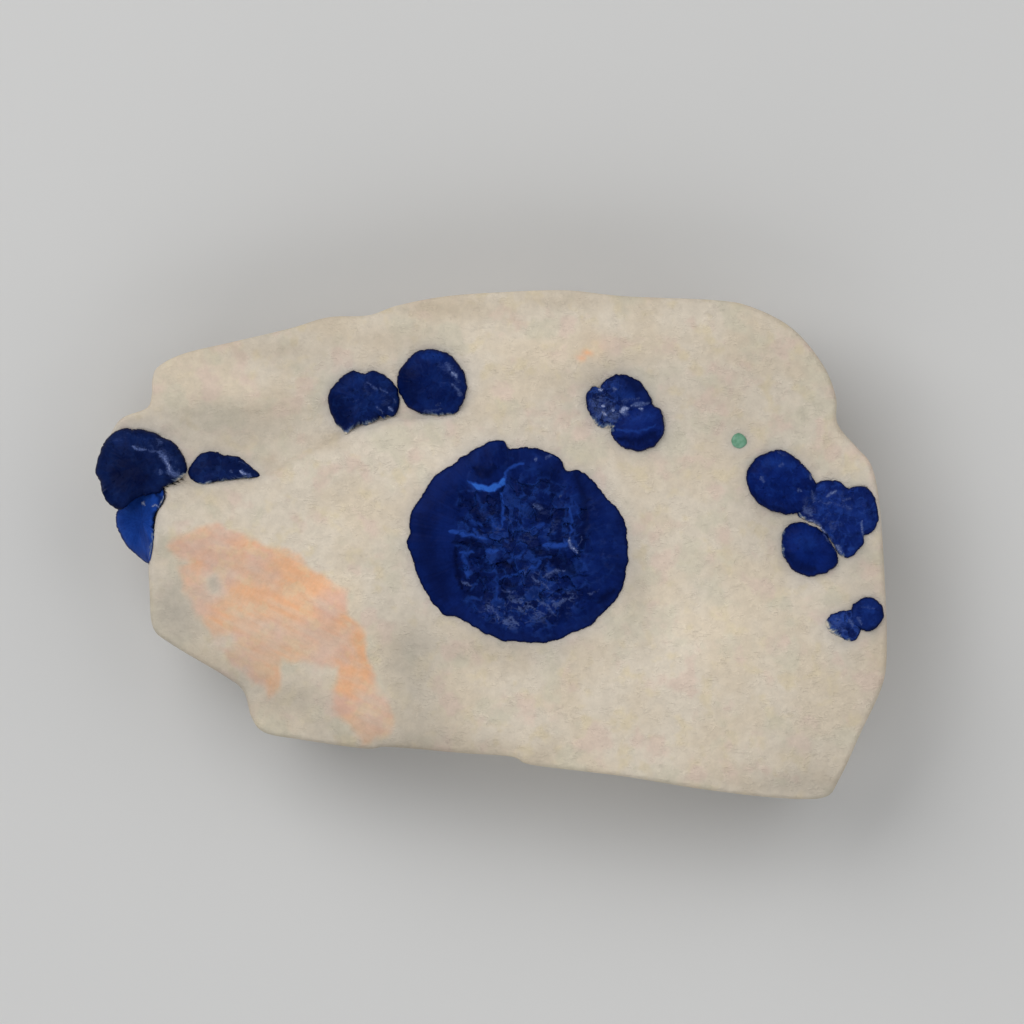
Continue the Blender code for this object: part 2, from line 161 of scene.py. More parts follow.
UNDER_LEVEL, UNDER_GRIT, UNDER_GRIT_GRAIN, UNDER_MIDDLE = 0.12, 0.12, 2 * MM, 0.2 * MM
BOX_MARGIN = 0.03 * MM


def facing(degrees):
    """The direction on the plan at an angle from the right, anticlockwise."""
    angle = math.radians(degrees)
    return np.array([math.cos(angle), math.sin(angle)])


def smooth_step(value):
    """0 up to nought and 1 from one on, with a smooth step between them."""
    value = np.clip(value, 0, 1)
    return value * value * (3 - 2 * value)


def swell(spots, grain, level=0.0):
    """Soft noise from about -0.5 to 0.5 at spots of the plan, or at points, with swells of one size."""
    spots = np.asarray(spots) / grain
    if spots.shape[1] == 2:
        spots = np.column_stack([spots, np.full(len(spots), level)])
    return np.array([noise.noise(spot) for spot in spots.tolist()])


def closed_curve(pixels, count):
    """Count places, evenly spaced, on a smooth closed curve through the pixels, anticlockwise."""
    knots = place(pixels)[::-1]
    a, b, c, d = (np.roll(knots, -turn, axis=0)[:, None] for turn in (-1, 0, 1, 2))
    t = np.linspace(0, 1, CURVE_STEPS, endpoint=False)[None, :, None]
    bend = (2 * a - 5 * b + 4 * c - d) * t**2 + (3 * b - a - 3 * c + d) * t**3
    fine = (0.5 * (2 * b + (c - a) * t + bend)).reshape(-1, 2)
    fine = np.vstack([fine, fine[:1]])
    travelled = np.concatenate([[0], np.cumsum(np.linalg.norm(np.diff(fine, axis=0), axis=1))])
    stops = travelled[-1] * np.arange(count) / count
    return np.column_stack([np.interp(stops, travelled, fine[:, axis]) for axis in (0, 1)])


def towards(spots, outline, middle, values):
    """What an outline's points hold, read in the direction of each spot from the outline's middle."""
    away = outline - middle
    angles = np.arctan2(away[:, 1], away[:, 0])
    order = np.argsort(angles)
    wanted = np.arctan2(*(spots - middle).T[::-1])
    return np.interp(wanted, angles[order], values[order], period=2 * math.pi)


def reach_of(outline, middle, spots):
    """How far a closed outline is from its middle, in the direction of each spot."""
    return towards(spots, outline, middle, np.linalg.norm(outline - middle, axis=1))


def beside(line, spots):
    """How far spots are from a line of pixels, above nought on its left, and where along it they lie."""
    ends = place(line)
    passed = np.concatenate([[0], np.cumsum(np.linalg.norm(np.diff(ends, axis=0), axis=1))])
    nearest = np.full(len(spots), np.inf)
    apart, along = np.zeros(len(spots)), np.zeros(len(spots))
    for number, (a, b) in enumerate(zip(ends, ends[1:])):
        run, away = b - a, spots - a
        part = np.clip(away @ run / (run @ run), 0, 1)
        distance = np.linalg.norm(away - part[:, None] * run, axis=1)
        cross = run[0] * away[:, 1] - run[1] * away[:, 0]
        closer = distance < nearest
        apart = np.where(closer, np.copysign(distance, cross), apart)
        reached = passed[number] + part * (passed[number + 1] - passed[number])
        along = np.where(closer, reached / passed[-1], along)
        nearest = np.minimum(nearest, distance)
    return apart, along


def side_of(line, spots):
    """How far spots are from a line of pixels: above nought on its left, as it is walked."""
    return beside(line, spots)[0]


def face_height(spots):
    """Height of the show face at spots of the plan, before its edge is rounded off."""
    height = np.full(len(spots), FACE_HEIGHT)
    for pixel, half_widths, turn, rise in FACE_FEATURES:
        away = spots - place(pixel)
        along = away @ facing(turn) / (half_widths[0] * PIXEL)
        across = away @ facing(turn + 90) / (half_widths[1] * PIXEL)
        height += rise * np.exp(-along * along - across * across)
    start, end = (place((x, 0))[0] for x in BANK_ENDS)
    fading = 1 - smooth_step((spots[:, 0] - start) / (end - start))
    height -= BANK_RISE * fading * smooth_step(side_of(BANK_LINE, spots) / BANK_WIDTH + 0.5)
    inside = np.maximum(0, -side_of(BREAK_LINE, spots))
    height -= BREAK_LIP * smooth_step(inside / BREAK_LIP_WIDTH)
    height -= BREAK_SLOPE * inside * smooth_step(inside / BREAK_LIP_WIDTH)
    return height + FACE_UNEVENNESS * swell(spots, FACE_GRAIN)


def edge_drop(insets):
    """How far the rounded edge lies below the face, at insets from the outline."""
    left = np.maximum(0, EDGE_ROUNDING - insets)
    return EDGE_ROUNDING - np.sqrt(EDGE_ROUNDING**2 - left**2)


def broken_back(spots, heights):
    """Spots of the slab's side, pulled in to the flat breaks that undercut its lower edge."""
    for pixel, top, direction, undercut, half_width in SIDE_BREAKS:
        outward = facing(direction)
        away = spots - place(pixel)
        curl = BREAK_END_CURL * (away @ facing(direction + 90) / half_width) ** 4
        allowed = (heights - top) * math.tan(math.radians(undercut)) + curl
        pulled = np.where(heights < top, np.maximum(0, away @ outward - allowed), 0)
        spots = spots - outward * pulled[:, None]
    return spots


def lofted(name, rings, top, bottom):
    """An object whose closed skin runs from the top point, through rings of points, to the bottom one."""
    rings = np.asarray(rings)
    levels, spokes = rings.shape[:2]
    points = np.vstack([rings.reshape(-1, 3), top, bottom])
    k = np.arange(spokes)
    after = (k + 1) % spokes
    upper = np.arange(levels - 1)[:, None] * spokes
    lower, last = upper + spokes, (levels - 1) * spokes
    sides = np.stack(np.broadcast_arrays(upper + k, lower + k, lower + after, upper + after), axis=-1)
    top_cap = np.column_stack([k, after, np.full(spokes, len(points) - 2)])
    bottom_cap = np.column_stack([last + after, last + k, np.full(spokes, len(points) - 1)])
    faces = sides.reshape(-1, 4).tolist() + top_cap.tolist() + bottom_cap.tolist()
    mesh = bpy.data.meshes.new(name)
    mesh.from_pydata(points.tolist(), [], faces)
    mesh.shade_smooth()
    obj = bpy.data.objects.new(name, mesh)
    bpy.context.scene.collection.objects.link(obj)
    return obj


def mark(obj, name, values):
    """Stores a value, a direction or a colour for each point of an object's mesh."""
    values = np.asarray(values, np.float32)
    kinds = {1: ("FLOAT", "value"), 3: ("FLOAT_VECTOR", "vector"), 4: ("FLOAT_COLOR", "color")}
    kind, field = kinds[1 if values.ndim == 1 else values.shape[1]]
    obj.data.attributes.new(name, kind, "POINT").data.foreach_set(field, values.ravel())


def clay_height(spots):
    """Height of the clay at spots of the plan, with its rounded edge, and far down outside it."""
    away = np.linalg.norm(spots - slab_middle, axis=1)
    insets = reach_of(closed_curve(FACE_OUTLINE, COARSE_OUTLINE), slab_middle, spots) - away
    return np.where(insets > 0, face_height(spots) - edge_drop(insets), -1.0)


slab_middle = place(SLAB_MIDDLE)
wall_edge = closed_curve(SLAB_OUTLINE, SLAB_SPOKES)
inward = slab_middle - wall_edge
inward /= np.linalg.norm(inward, axis=1)[:, None]
face_reach = reach_of(closed_curve(FACE_OUTLINE, FINE_OUTLINE), slab_middle, wall_edge)
face_edge = slab_middle - inward * face_reach[:, None]

plan = [slab_middle + share * (face_edge - slab_middle) for share in MIDDLE_SHARES]
for t in np.linspace(0, 1, FACE_RINGS, endpoint=False):
    ring_reach = FIRST_FACE_SHARE * face_reach
    ring_reach = ring_reach + t * (face_reach - RIM_INSETS[0] * MM - ring_reach)
    plan.append(slab_middle - inward * ring_reach[:, None])
for inset in RIM_INSETS:
    plan.append(face_edge + inward * inset * MM)
slab_rings = []
for spots in plan:
    insets = np.linalg.norm(face_edge - spots, axis=1)
    heights = face_height(spots) - edge_drop(insets)
    slab_rings.append(np.column_stack([spots, heights]))
edge_heights = slab_rings[-1][:, 2]
for ring in slab_rings:
    for height, grain in FACE_RELIEF:
        ring[:, 2] += height * swell(ring[:, :2], grain)

wall_shares = np.linspace(1, 0, WALL_RINGS + 1)[1:]
for share in wall_shares:
    heights = share * edge_heights
    above_ledge = smooth_step((heights - LEDGE_HEIGHT) / LEDGE_ROUNDING + 0.5)[:, None]
    edge = wall_edge + (face_edge - wall_edge) * above_ledge
    tall = np.column_stack([wall_edge, 2 * heights])
    uneven = np.interp(share, WALL_SHARES, WALL_ROUGHNESS) * MM * swell(tall, WALL_GRAIN)
    inset = np.interp(share, WALL_SHARES, WALL_INSETS) * MM + uneven
    solid = np.column_stack([wall_edge, heights])
    easing = min(1, WALL_EASING * (1 - share))
    for height, grain in WALL_RELIEF:
        inset += easing * height * (0.5 - np.abs(swell(solid, grain)))
    bed = swell(np.column_stack([wall_edge * BED_STRETCH, heights]), BED_HEIGHT)
    inset += easing * BED_DEPTH * (0.5 + bed)
    spots = broken_back(edge + inward * inset[:, None], heights)
    slab_rings.append(np.column_stack([spots, heights]))
foot = slab_rings[-1][:, :2]
for share in UNDER_SHARES:
    spots = slab_middle + share * (foot - slab_middle)
    hollow = np.maximum(0, swell(spots, UNDER_GRAIN) + UNDER_LEVEL)
    hollow = hollow + UNDER_GRIT * np.abs(swell(spots, UNDER_GRIT_GRAIN))
    heights = UNDER_RELIEF * hollow * smooth_step((1 - share) * UNDER_EASING)
    slab_rings.append(np.column_stack([spots, heights]))
low, high = (np.array(corner[:2]) for corner in cad_box)
for ring in slab_rings:
    ring[:, :2] = np.clip(ring[:, :2], low + BOX_MARGIN, high - BOX_MARGIN)
top_point = (*slab_middle, face_height(np.array([slab_middle]))[0])
slab = lofted("kaolin_slab_skin", slab_rings, top_point, (*slab_middle, UNDER_MIDDLE))

# Where the clay is tinted, drawn on the plan: the orange stain of the break, grey and browner places
STAIN = [
    (167, 548), (176, 535), (190, 533), (200, 527), (219, 522), (226, 531), (243, 535), (262, 546),
    (298, 551), (304, 562), (318, 572), (346, 593), (351, 612), (366, 641), (373, 672), (378, 692),
    (391, 715), (393, 727), (372, 742), (361, 746), (352, 727), (336, 713), (334, 690), (338, 667),
    (318, 666), (283, 660), (279, 688), (268, 694), (252, 679), (232, 665), (204, 628), (187, 598),
    (184, 576),
]
STAIN_LEVEL, STAIN_SOFTNESS = 0.64, 1.3 * MM
STAIN_FOOT, STAIN_FADING = 9 * MM, 8 * MM
STAIN_BANDS = [
    ([(172, 545), (200, 536), (226, 532)], 9, 0.35),
    ([(235, 545), (280, 562), (318, 585), (345, 610)], 15, 0.85),
    ([(205, 560), (245, 590), (300, 608), (335, 622)], 14, 0.7),
    ([(352, 612), (364, 645), (368, 682)], 9, 0.9),
    ([(344, 655), (346, 685), (343, 708)], 9, 1.0),
    ([(215, 610), (240, 645), (262, 682)], 9, 0.45),
]
PINK_PLACES = [
    ((195, 545), (26, 14)), ((225, 655), (34, 22)), ((312, 632), (22, 14)), ((262, 556), (16, 7)),
    ((374, 716), (18, 20)),
]
STAIN_SPOTS = [
    ((582, 358), 5, 1.0), ((586, 351), 5, 1.0), ((597, 345), 12, 0.16), ((370, 738), 5, 0.6),
    ((265, 655), 3, 0.5),
]
PALE_HOLES = [
    ((213, 584), (9, 10)), ((222, 640), (11, 7)), ((180, 602), (10, 7)), ((179, 560), (9, 4)),
]
# Grey places: partly a greyer clay, partly painted shade in the trough and the hollows of the face
GREY_AND_SHADED_PLACES = [
    ((175, 612), (30, 40), 1.0), ((300, 700), (34, 20), 0.55), ((322, 722), (20, 16), 0.4),
    ((410, 670), (26, 60), 0.7), ((240, 425), (84, 22), 0.55), ((232, 684), (34, 16), 0.5),
    ((600, 372), (40, 12), 0.35), ((820, 760), (50, 40), 0.35), ((640, 620), (20, 40), 0.35),
    ((420, 740), (40, 8), 0.4), ((385, 600), (20, 24), 0.3), ((213, 584), (8, 9), 1.0),
    ((360, 560), (30, 10), 0.25), ((705, 590), (30, 24), 0.25),
]
BROWN_PLACES = [
    ((450, 308), (70, 12), 0.55), ((560, 300), (60, 9), 0.45), ((380, 340), (50, 16), 0.5),
    ((330, 440), (30, 10), 0.35), ((560, 350), (40, 12), 0.25), ((880, 640), (10, 60), 0.4),
    ((270, 350), (70, 10), 0.35), ((268, 462), (14, 9), 0.5),
]
# Painted shade and light: how much darker a place is than the clay round it, or lighter where below nought
PAINTED_SHADE_PATCHES = [
    ((290, 355), (62, 46), 0.10), ((200, 436), (70, 46), 0.11), ((245, 392), (34, 20), -0.11),
    ((700, 398), (150, 56), 0.10), ((560, 352), (34, 20), -0.16), ((500, 348), (34, 14), -0.08),
    ((680, 305), (90, 9), 0.07), ((775, 350), (40, 50), 0.06), ((770, 522), (44, 40), 0.14),
    ((864, 556), (24, 22), 0.12), ((640, 560), (18, 50), 0.09), ((696, 622), (56, 46), -0.16),
    ((480, 650), (110, 24), 0.14), ((385, 752), (110, 26), 0.30), ((262, 692), (46, 36), 0.17),
    ((432, 712), (32, 34), 0.14), ((332, 708), (30, 26), 0.08), ((800, 788), (90, 18), 0.22),
    ((852, 640), (26, 80), 0.09), ((320, 594), (38, 22), -0.16), ((348, 526), (36, 34), -0.07),
    ((250, 552), (34, 14), -0.07), ((176, 488), (30, 24), 0.10), ((420, 468), (56, 26), -0.08),
    ((215, 668), (40, 26), 0.10), ((632, 570), (14, 34), 0.10), ((270, 432), (30, 14), 0.07),
    ((650, 790), (50, 12), 0.10), ((596, 396), (14, 30), 0.08), ((872, 710), (12, 30), 0.07),
    ((310, 312), (40, 8), 0.08), ((390, 752), (30, 8), 0.06), ((650, 676), (40, 14), -0.06),
    ((510, 392), (24, 14), -0.07), ((474, 672), (24, 12), -0.06), ((188, 656), (50, 30), 0.07),
    ((308, 316), (26, 10), 0.08), ((650, 786), (44, 10), 0.08), ((372, 440), (40, 20), -0.06),
    ((436, 462), (18, 18), -0.06), ((370, 345), (34, 14), -0.06), ((410, 632), (26, 26), 0.05),
]
# How far drawn places are shaken by soft noise, the size of its swells and its level
STAIN_SHAKES = [(0.9 * MM, 3.1 * MM, 7.0), (0.3 * MM, 1.1 * MM, 9.0)]
STREAK_TURN, STREAK_LENGTH, STREAK_STRENGTH = -27, 9, 0.35
STREAK_GRAINS = (0.9 * MM, 0.4 * MM)
HOLE_STRENGTH, HOLE_SHARPNESS = 0.9, 1.5
CRACKLE_FROM, CRACKLE_FADING, CRACKLE_LEAST = (300, 0), 20 * MM, 0.6


def blob(spots, pixel, half_widths):
    """A soft round patch on the plan, from 1 in its middle to 0 well outside its half widths."""
    away = (spots - place(pixel)) / (np.array(half_widths) * PIXEL)
    return np.exp(-(away**2).sum(axis=1))


def within(pixels, spots, softness):
    """1 inside a closed outline of pixels and 0 outside it, with an edge as wide as softness."""
    inside = np.zeros(len(spots), bool)
    outline = place(pixels)
    for a, b in zip(outline, np.roll(outline, -1, axis=0)):
        run, away = b - a, spots - a
        crossed = (a[1] > spots[:, 1]) != (b[1] > spots[:, 1])
        inside ^= crossed & (away[:, 0] < run[0] * away[:, 1] / (run[1] or 1))
    nearest = np.abs(side_of([*pixels, pixels[0]], spots))
    return smooth_step(np.where(inside, nearest, -nearest) / softness + 0.5)


def shake(spots, amount, grain, level):
    """How far each spot is shifted on the plan by soft noise, which gives drawn places ragged edges."""
    return amount * np.column_stack([swell(spots, grain), swell(spots, grain, level)])


def most_of(places, spots):
    """The strongest of several soft patches at each spot."""
    return np.max([amount * blob(spots, pixel, widths) for pixel, widths, amount in places], axis=0)


points = np.vstack([np.concatenate(slab_rings), (*slab_middle, 0), (*slab_middle, 0)])
spots = points[:, :2]
shaken = spots + sum(shake(spots, *sizes) for sizes in STAIN_SHAKES)
streak_plan = [spots @ facing(STREAK_TURN) / STREAK_LENGTH, spots @ facing(STREAK_TURN + 90)]
streak_plan = np.column_stack(streak_plan)
streaks = swell(streak_plan, STREAK_GRAINS[0]) + 0.6 * swell(streak_plan, STREAK_GRAINS[1], 3.0)
stain = np.full(len(spots), STAIN_LEVEL)
for line, width, amount in STAIN_BANDS:
    nearness = side_of(line, shaken) / (width * PIXEL)
    stain = np.maximum(stain, STAIN_LEVEL + (1 - STAIN_LEVEL) * amount * np.exp(-nearness * nearness))
stain *= within(STAIN, shaken, STAIN_SOFTNESS) * (1 + STREAK_STRENGTH * streaks)
stain *= smooth_step((points[:, 2] - STAIN_FOOT) / STAIN_FADING)
for pixel, half_widths in PALE_HOLES:
    stain *= 1 - HOLE_STRENGTH * np.clip(HOLE_SHARPNESS * blob(shaken, pixel, half_widths), 0, 1)
for pixel, half_width, amount in STAIN_SPOTS:
    stain = np.maximum(stain, amount * blob(shaken, pixel, (half_width, half_width)))
pink = np.max([blob(shaken, pixel, half_widths) for pixel, half_widths in PINK_PLACES], axis=0)
grey_and_shade, brown = most_of(GREY_AND_SHADED_PLACES, shaken), most_of(BROWN_PLACES, shaken)
FACE_POINTS = len(plan) * SLAB_SPOKES
on_side = (np.arange(len(points)) >= FACE_POINTS).astype(float)
on_side[-2] = 0
mark(slab, "tints", np.clip(np.column_stack([stain, grey_and_shade, brown, on_side]), 0, 1))
mark(slab, "pink", pink)
# Painted shade and painted light from the patches, stored as the shade of each point
mark(slab, "shade", sum(amount * blob(spots, pixel, widths) for pixel, widths, amount in PAINTED_SHADE_PATCHES))
# Painted shade round the suns, filled in as each sun is seated
mark(slab, "grime", np.zeros(len(spots)))
across = smooth_step((spots[:, 0] - place(CRACKLE_FROM)[0]) / CRACKLE_FADING + 0.5)
mark(slab, "crackle", CRACKLE_LEAST + (1 - CRACKLE_LEAST) * across)


class Wire:
    """One output in a tree of nodes. A sum written with it adds Math nodes to that tree."""

    def __init__(self, tree, output):
        self.tree, self.output = tree, output

    def add(self, kind, settings=(), inputs=(), output=0):
        """Adds a node: its settings first, then the values or wires of its sockets."""
        return add(self.tree, kind, settings, inputs, output)

    def also(self, name):
        """Another output of the same node."""
        return Wire(self.tree, socket_of(self.output.node.outputs, name))

    def math(self, operation, *values):
        return self.add("ShaderNodeMath", {"operation": operation}, dict(enumerate(values)))

    def __add__(self, other):
        return self.math("ADD", self, other)

    def __sub__(self, other):
        return self.math("SUBTRACT", self, other)

    def __rsub__(self, other):
        return self.math("SUBTRACT", other, self)

    def __mul__(self, other):
        return self.math("MULTIPLY", self, other)

    def __pow__(self, other):
        return self.math("POWER", self, other)

    __radd__, __rmul__ = __add__, __mul__

    def capped(self, top=1.0):
        return self.math("MINIMUM", self, top)

    def rise(self, low, high):
        """0 up to low and 1 from high on, with a smooth step between them."""
        span = {"From Min": low, "From Max": high, "Value": self}
        return self.add("ShaderNodeMapRange", {"interpolation_type": "SMOOTHSTEP"}, span)

    def mix(self, first, second):
        """The first colour where this is 0 and the second where it is 1."""
        inputs = {"Factor_Float": self, "A_Color": first, "B_Color": second}
        return self.add("ShaderNodeMix", {"data_type": "RGBA"}, inputs, "Result_Color")

    def shade(self, colour):
        """A colour made darker or lighter by this value."""
        inputs = {0: colour, "Scale": self}
        return self.add("ShaderNodeVectorMath", {"operation": "SCALE"}, inputs)


def socket_of(sockets, key):
    """A socket by its number, identifier or name; of those with one name, the one that is in use."""
    if isinstance(key, int):
        return sockets[key]
    named = [socket for socket in sockets if key in (socket.identifier, socket.name)]
    return next((socket for socket in named if socket.enabled), named[0])


def add(tree, kind, settings=(), inputs=(), output=0):
    """Adds a node to a tree: its settings first, then the values or wires of its sockets."""
    node = tree.nodes.new(kind)
    for setting, value in dict(settings).items():
        setattr(node, setting, value)
    for key, value in dict(inputs).items():
        socket = socket_of(node.inputs, key)
        if isinstance(value, Wire):
            tree.links.new(value.output, socket)
        elif socket.type == "RGBA" and len(value) == 3:
            socket.default_value = (*value, 1)
        else:
            socket.default_value = value
    return Wire(tree, socket_of(node.outputs, output)) if node.outputs else node


def value_of(tree, name, output="Fac"):
    """A value, or with another output a direction or a colour, that a mesh stores under a name."""
    return add(tree, "ShaderNodeAttribute", {"attribute_name": name}, output=output)


def parts_of(colour):
    """The red, green and blue of a colour, as three values."""
    split = {"Color": colour}
    return [colour.add("ShaderNodeSeparateColor", {}, split, name) for name in ("Red", "Green", "Blue")]


def material_of(name, colour_of, **constants):
    """A material whose colour, roughness and height come from colour_of, and the rest from constants."""
    material = bpy.data.materials.new(name)
    material.use_nodes = True
    tree = material.node_tree
    shader = tree.nodes["Principled BSDF"]
    for socket, value in constants.items():
        shader.inputs[socket.replace("_", " ")].default_value = value
    colour, roughness, height, depth = colour_of(tree)
    bump = add(tree, "ShaderNodeBump", {}, {"Strength": 1.0, "Distance": depth, "Height": height})
    tree.links.new(colour.output, shader.inputs["Base Color"])
    tree.links.new(roughness.output, shader.inputs["Roughness"])
    tree.links.new(bump.output, shader.inputs["Normal"])
    return material


def grains(where, size, detail, distortion=0.0):
    """Noise from 0 to 1 with grains of a size in metres, or in the units of the place that it is given."""
    inputs = {"Vector": where, "Scale": 1 / size, "Detail": detail, "Distortion": distortion}
    return where.add("ShaderNodeTexNoise", {}, inputs)


CLAY_CREAM, CLAY_PALE, CLAY_STRAW = (0.708, 0.604, 0.468), (0.732, 0.644, 0.525), (0.722, 0.614, 0.432)
CLAY_PINKISH, CLAY_GREENISH = (0.724, 0.578, 0.478), (0.652, 0.596, 0.466)
# The first is a greyer clay that also paints shade in the hollows of the face
CLAY_GREY_AND_SHADE, CLAY_BROWN, CLAY_BROKEN = (0.512, 0.458, 0.380), (0.535, 0.440, 0.325), (0.50, 0.43, 0.335)
# Painted shade on the clay round the suns: darker and a little bluer than the clay
CLAY_PAINTED_SHADE = (0.470, 0.452, 0.448)
STAIN_ORANGE, STAIN_PINK, STAIN_STRAW = (0.840, 0.465, 0.262), (0.740, 0.470, 0.355), (0.780, 0.545, 0.330)
# Patches of other clay: colour, size, where in the noise they begin and are whole, and strength
CLAY_PATCHES = [(CLAY_PALE, 9 * MM, 0.38, 0.62, 1.0), (CLAY_STRAW, 3.4 * MM, 0.52, 0.70, 0.75)]
CLAY_TINTS = [(CLAY_PINKISH, 5 * MM, 0.53, 0.68, 0.8), (CLAY_GREENISH, 6.5 * MM, 0.52, 0.66, 0.7)]
SECOND_PLACE = (0.31, 0.17, 0.05)
# Short lines in the clay: turn (degrees), length, spacing, the share of the places and width
CRACKS_ALONG, CRACKS_ACROSS = (4, 2.0 * MM, 0.80 * MM, 0.43, 0.065), (-62, 1.2 * MM, 0.64 * MM, 0.42, 0.065)
# Pale flecks: raised short lines, partly painted highlight beside the darker lines
CLAY_FLECKS_AND_HIGHLIGHTS = (12, 1.8 * MM, 0.88 * MM, 0.50, 0.09)
CLAY_FINE, CLAY_COARSE, CLAY_BUMP = 0.42 * MM, 1.5 * MM, 0.16 * MM


def cracks(where, turn, length, spacing, share, width):
    """Short lines: along the level of a stretched noise, and only in a share of the places."""
    squeezed = {"Rotation": (0, 0, math.radians(turn)), "Scale": (1 / length, 1 / spacing, 1 / spacing)}
    squeezed = where.add("ShaderNodeMapping", {}, {"Vector": where, **squeezed})
    wave = where.add("ShaderNodeTexNoise", {}, {"Vector": squeezed, "Scale": 1.0, "Detail": 2.0})
    offset = wave - 0.5
    line = 1 - offset.math("ABSOLUTE", offset).rise(width * 0.2, width)
    return line * grains(where, 2.2 * MM, 2).rise(1 - share, 1.08 - share)


def clay(tree):
    """Cream clay with patches, broken sides, greyer and brown places, the stain, and painted shade and light.
    """
    where = add(tree, "ShaderNodeTexCoord", output="Object")
    tints = add(tree, "ShaderNodeAttribute", {"attribute_name": "tints"}, output="Color")
    side = tints.also("Alpha")
    stain, grey_and_shade, brown = parts_of(tints)
    crackle, pink, shade, grime = (value_of(tree, name) for name in ("crackle", "pink", "shade", "grime"))
    shifted = where.add("ShaderNodeVectorMath", {"operation": "ADD"}, {0: where, 1: SECOND_PLACE})
    colour = CLAY_CREAM
    for spread, patches in ((where, CLAY_PATCHES), (shifted, CLAY_TINTS)):
        for tint, size, low, high, amount in patches:
            colour = (grains(spread, size, 3).rise(low, high) * amount).mix(colour, tint)
    colour = (side * 0.55).mix(colour, CLAY_BROKEN)
    # Greyer clay, and painted shade in the trough and hollows of the face
    colour = grey_and_shade.mix(colour, CLAY_GREY_AND_SHADE)
    colour = brown.mix(colour, CLAY_BROWN)
    orange = grains(shifted, 7 * MM, 2).rise(0.36, 0.58).mix(STAIN_PINK, STAIN_ORANGE)
    orange = pink.mix(orange, STAIN_PINK)
    orange = (grains(where, 2.4 * MM, 3).rise(0.52, 0.64) * 0.55).mix(orange, STAIN_STRAW)
    colour = stain.mix(colour, orange)
    # Painted shade on the clay round each sun
    colour = (grime * 0.52).mix(colour, CLAY_PAINTED_SHADE)
    fine = grains(where, CLAY_FINE, 3, 0.4)
    coarse = grains(where, CLAY_COARSE, 3)
    # Painted shade and light from the patches, with the clay's fine and coarse grain
    colour = ((1 - shade) * (0.915 + fine.rise(0.3, 0.7) * 0.05 + coarse.rise(0.3, 0.7) * 0.09)).shade(colour)
    crack = cracks(where, *CRACKS_ALONG) + cracks(shifted, *CRACKS_ACROSS) * 0.7
    fleck_and_highlight = cracks(shifted, *CLAY_FLECKS_AND_HIGHLIGHTS)
    open_clay = crackle * (1 - side) * (1 - stain)
    crack, fleck_and_highlight = crack.capped() * open_clay, fleck_and_highlight * open_clay
    # Short lines darker; pale flecks lighter, partly as painted highlight
    colour = (1 - crack * 0.042 + fleck_and_highlight * 0.045).shade(colour)
    height = fine * 0.3 + coarse * 0.8 - crack * 0.22 + fleck_and_highlight * 0.30
    return colour, 0.84 + fine * 0.12, height, CLAY_BUMP


slab.data.materials.append(material_of("kaolin claystone", clay, Specular_IOR_Level=0.25))
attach(slab, "root")
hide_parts("kaolin_slab")


# Central sun
# A flat disc of azurite crystals that radiate from one point. Its smooth skin is whole on the left, and
# right of a low scarp it has flaked off and shows small blocky plates, with pale veins at the bottom.

CENTRAL_OUTLINE = [
    (503, 441), (510, 449), (530, 448), (550, 453), (561, 460), (566, 470), (580, 471), (592, 480),
    (604, 495), (618, 511), (626, 530), (627, 558), (622, 588), (608, 607), (592, 623), (572, 633),
    (552, 641), (525, 642), (497, 638), (470, 624), (456, 617), (444, 614), (431, 599), (418, 577),
    (412, 556), (407, 545), (411, 530), (411, 515), (424, 493), (433, 479), (458, 461), (484, 445),
]
CENTRAL_SCARP = [(478, 446), (462, 470), (456, 500), (455, 535), (458, 590), (476, 634)]
SCARP_WIDTH, BROKEN_SOFTNESS = 1.2 * MM, 3.5 * MM
CENTRAL_BROKEN = [
    (466, 486), (492, 492), (512, 478), (538, 474), (562, 486), (580, 510), (588, 545), (590, 585),
    (574, 612), (548, 630), (515, 633), (486, 624), (468, 608), (458, 580), (452, 545), (455, 512),
]
CENTRAL_VIVID = [
    (467, 481), (473, 483), (480, 484), (488, 486), (495, 484), (500, 481), (503, 476), (506, 478),
    (505, 486), (499, 488), (494, 492), (484, 492), (479, 490), (473, 486),
]
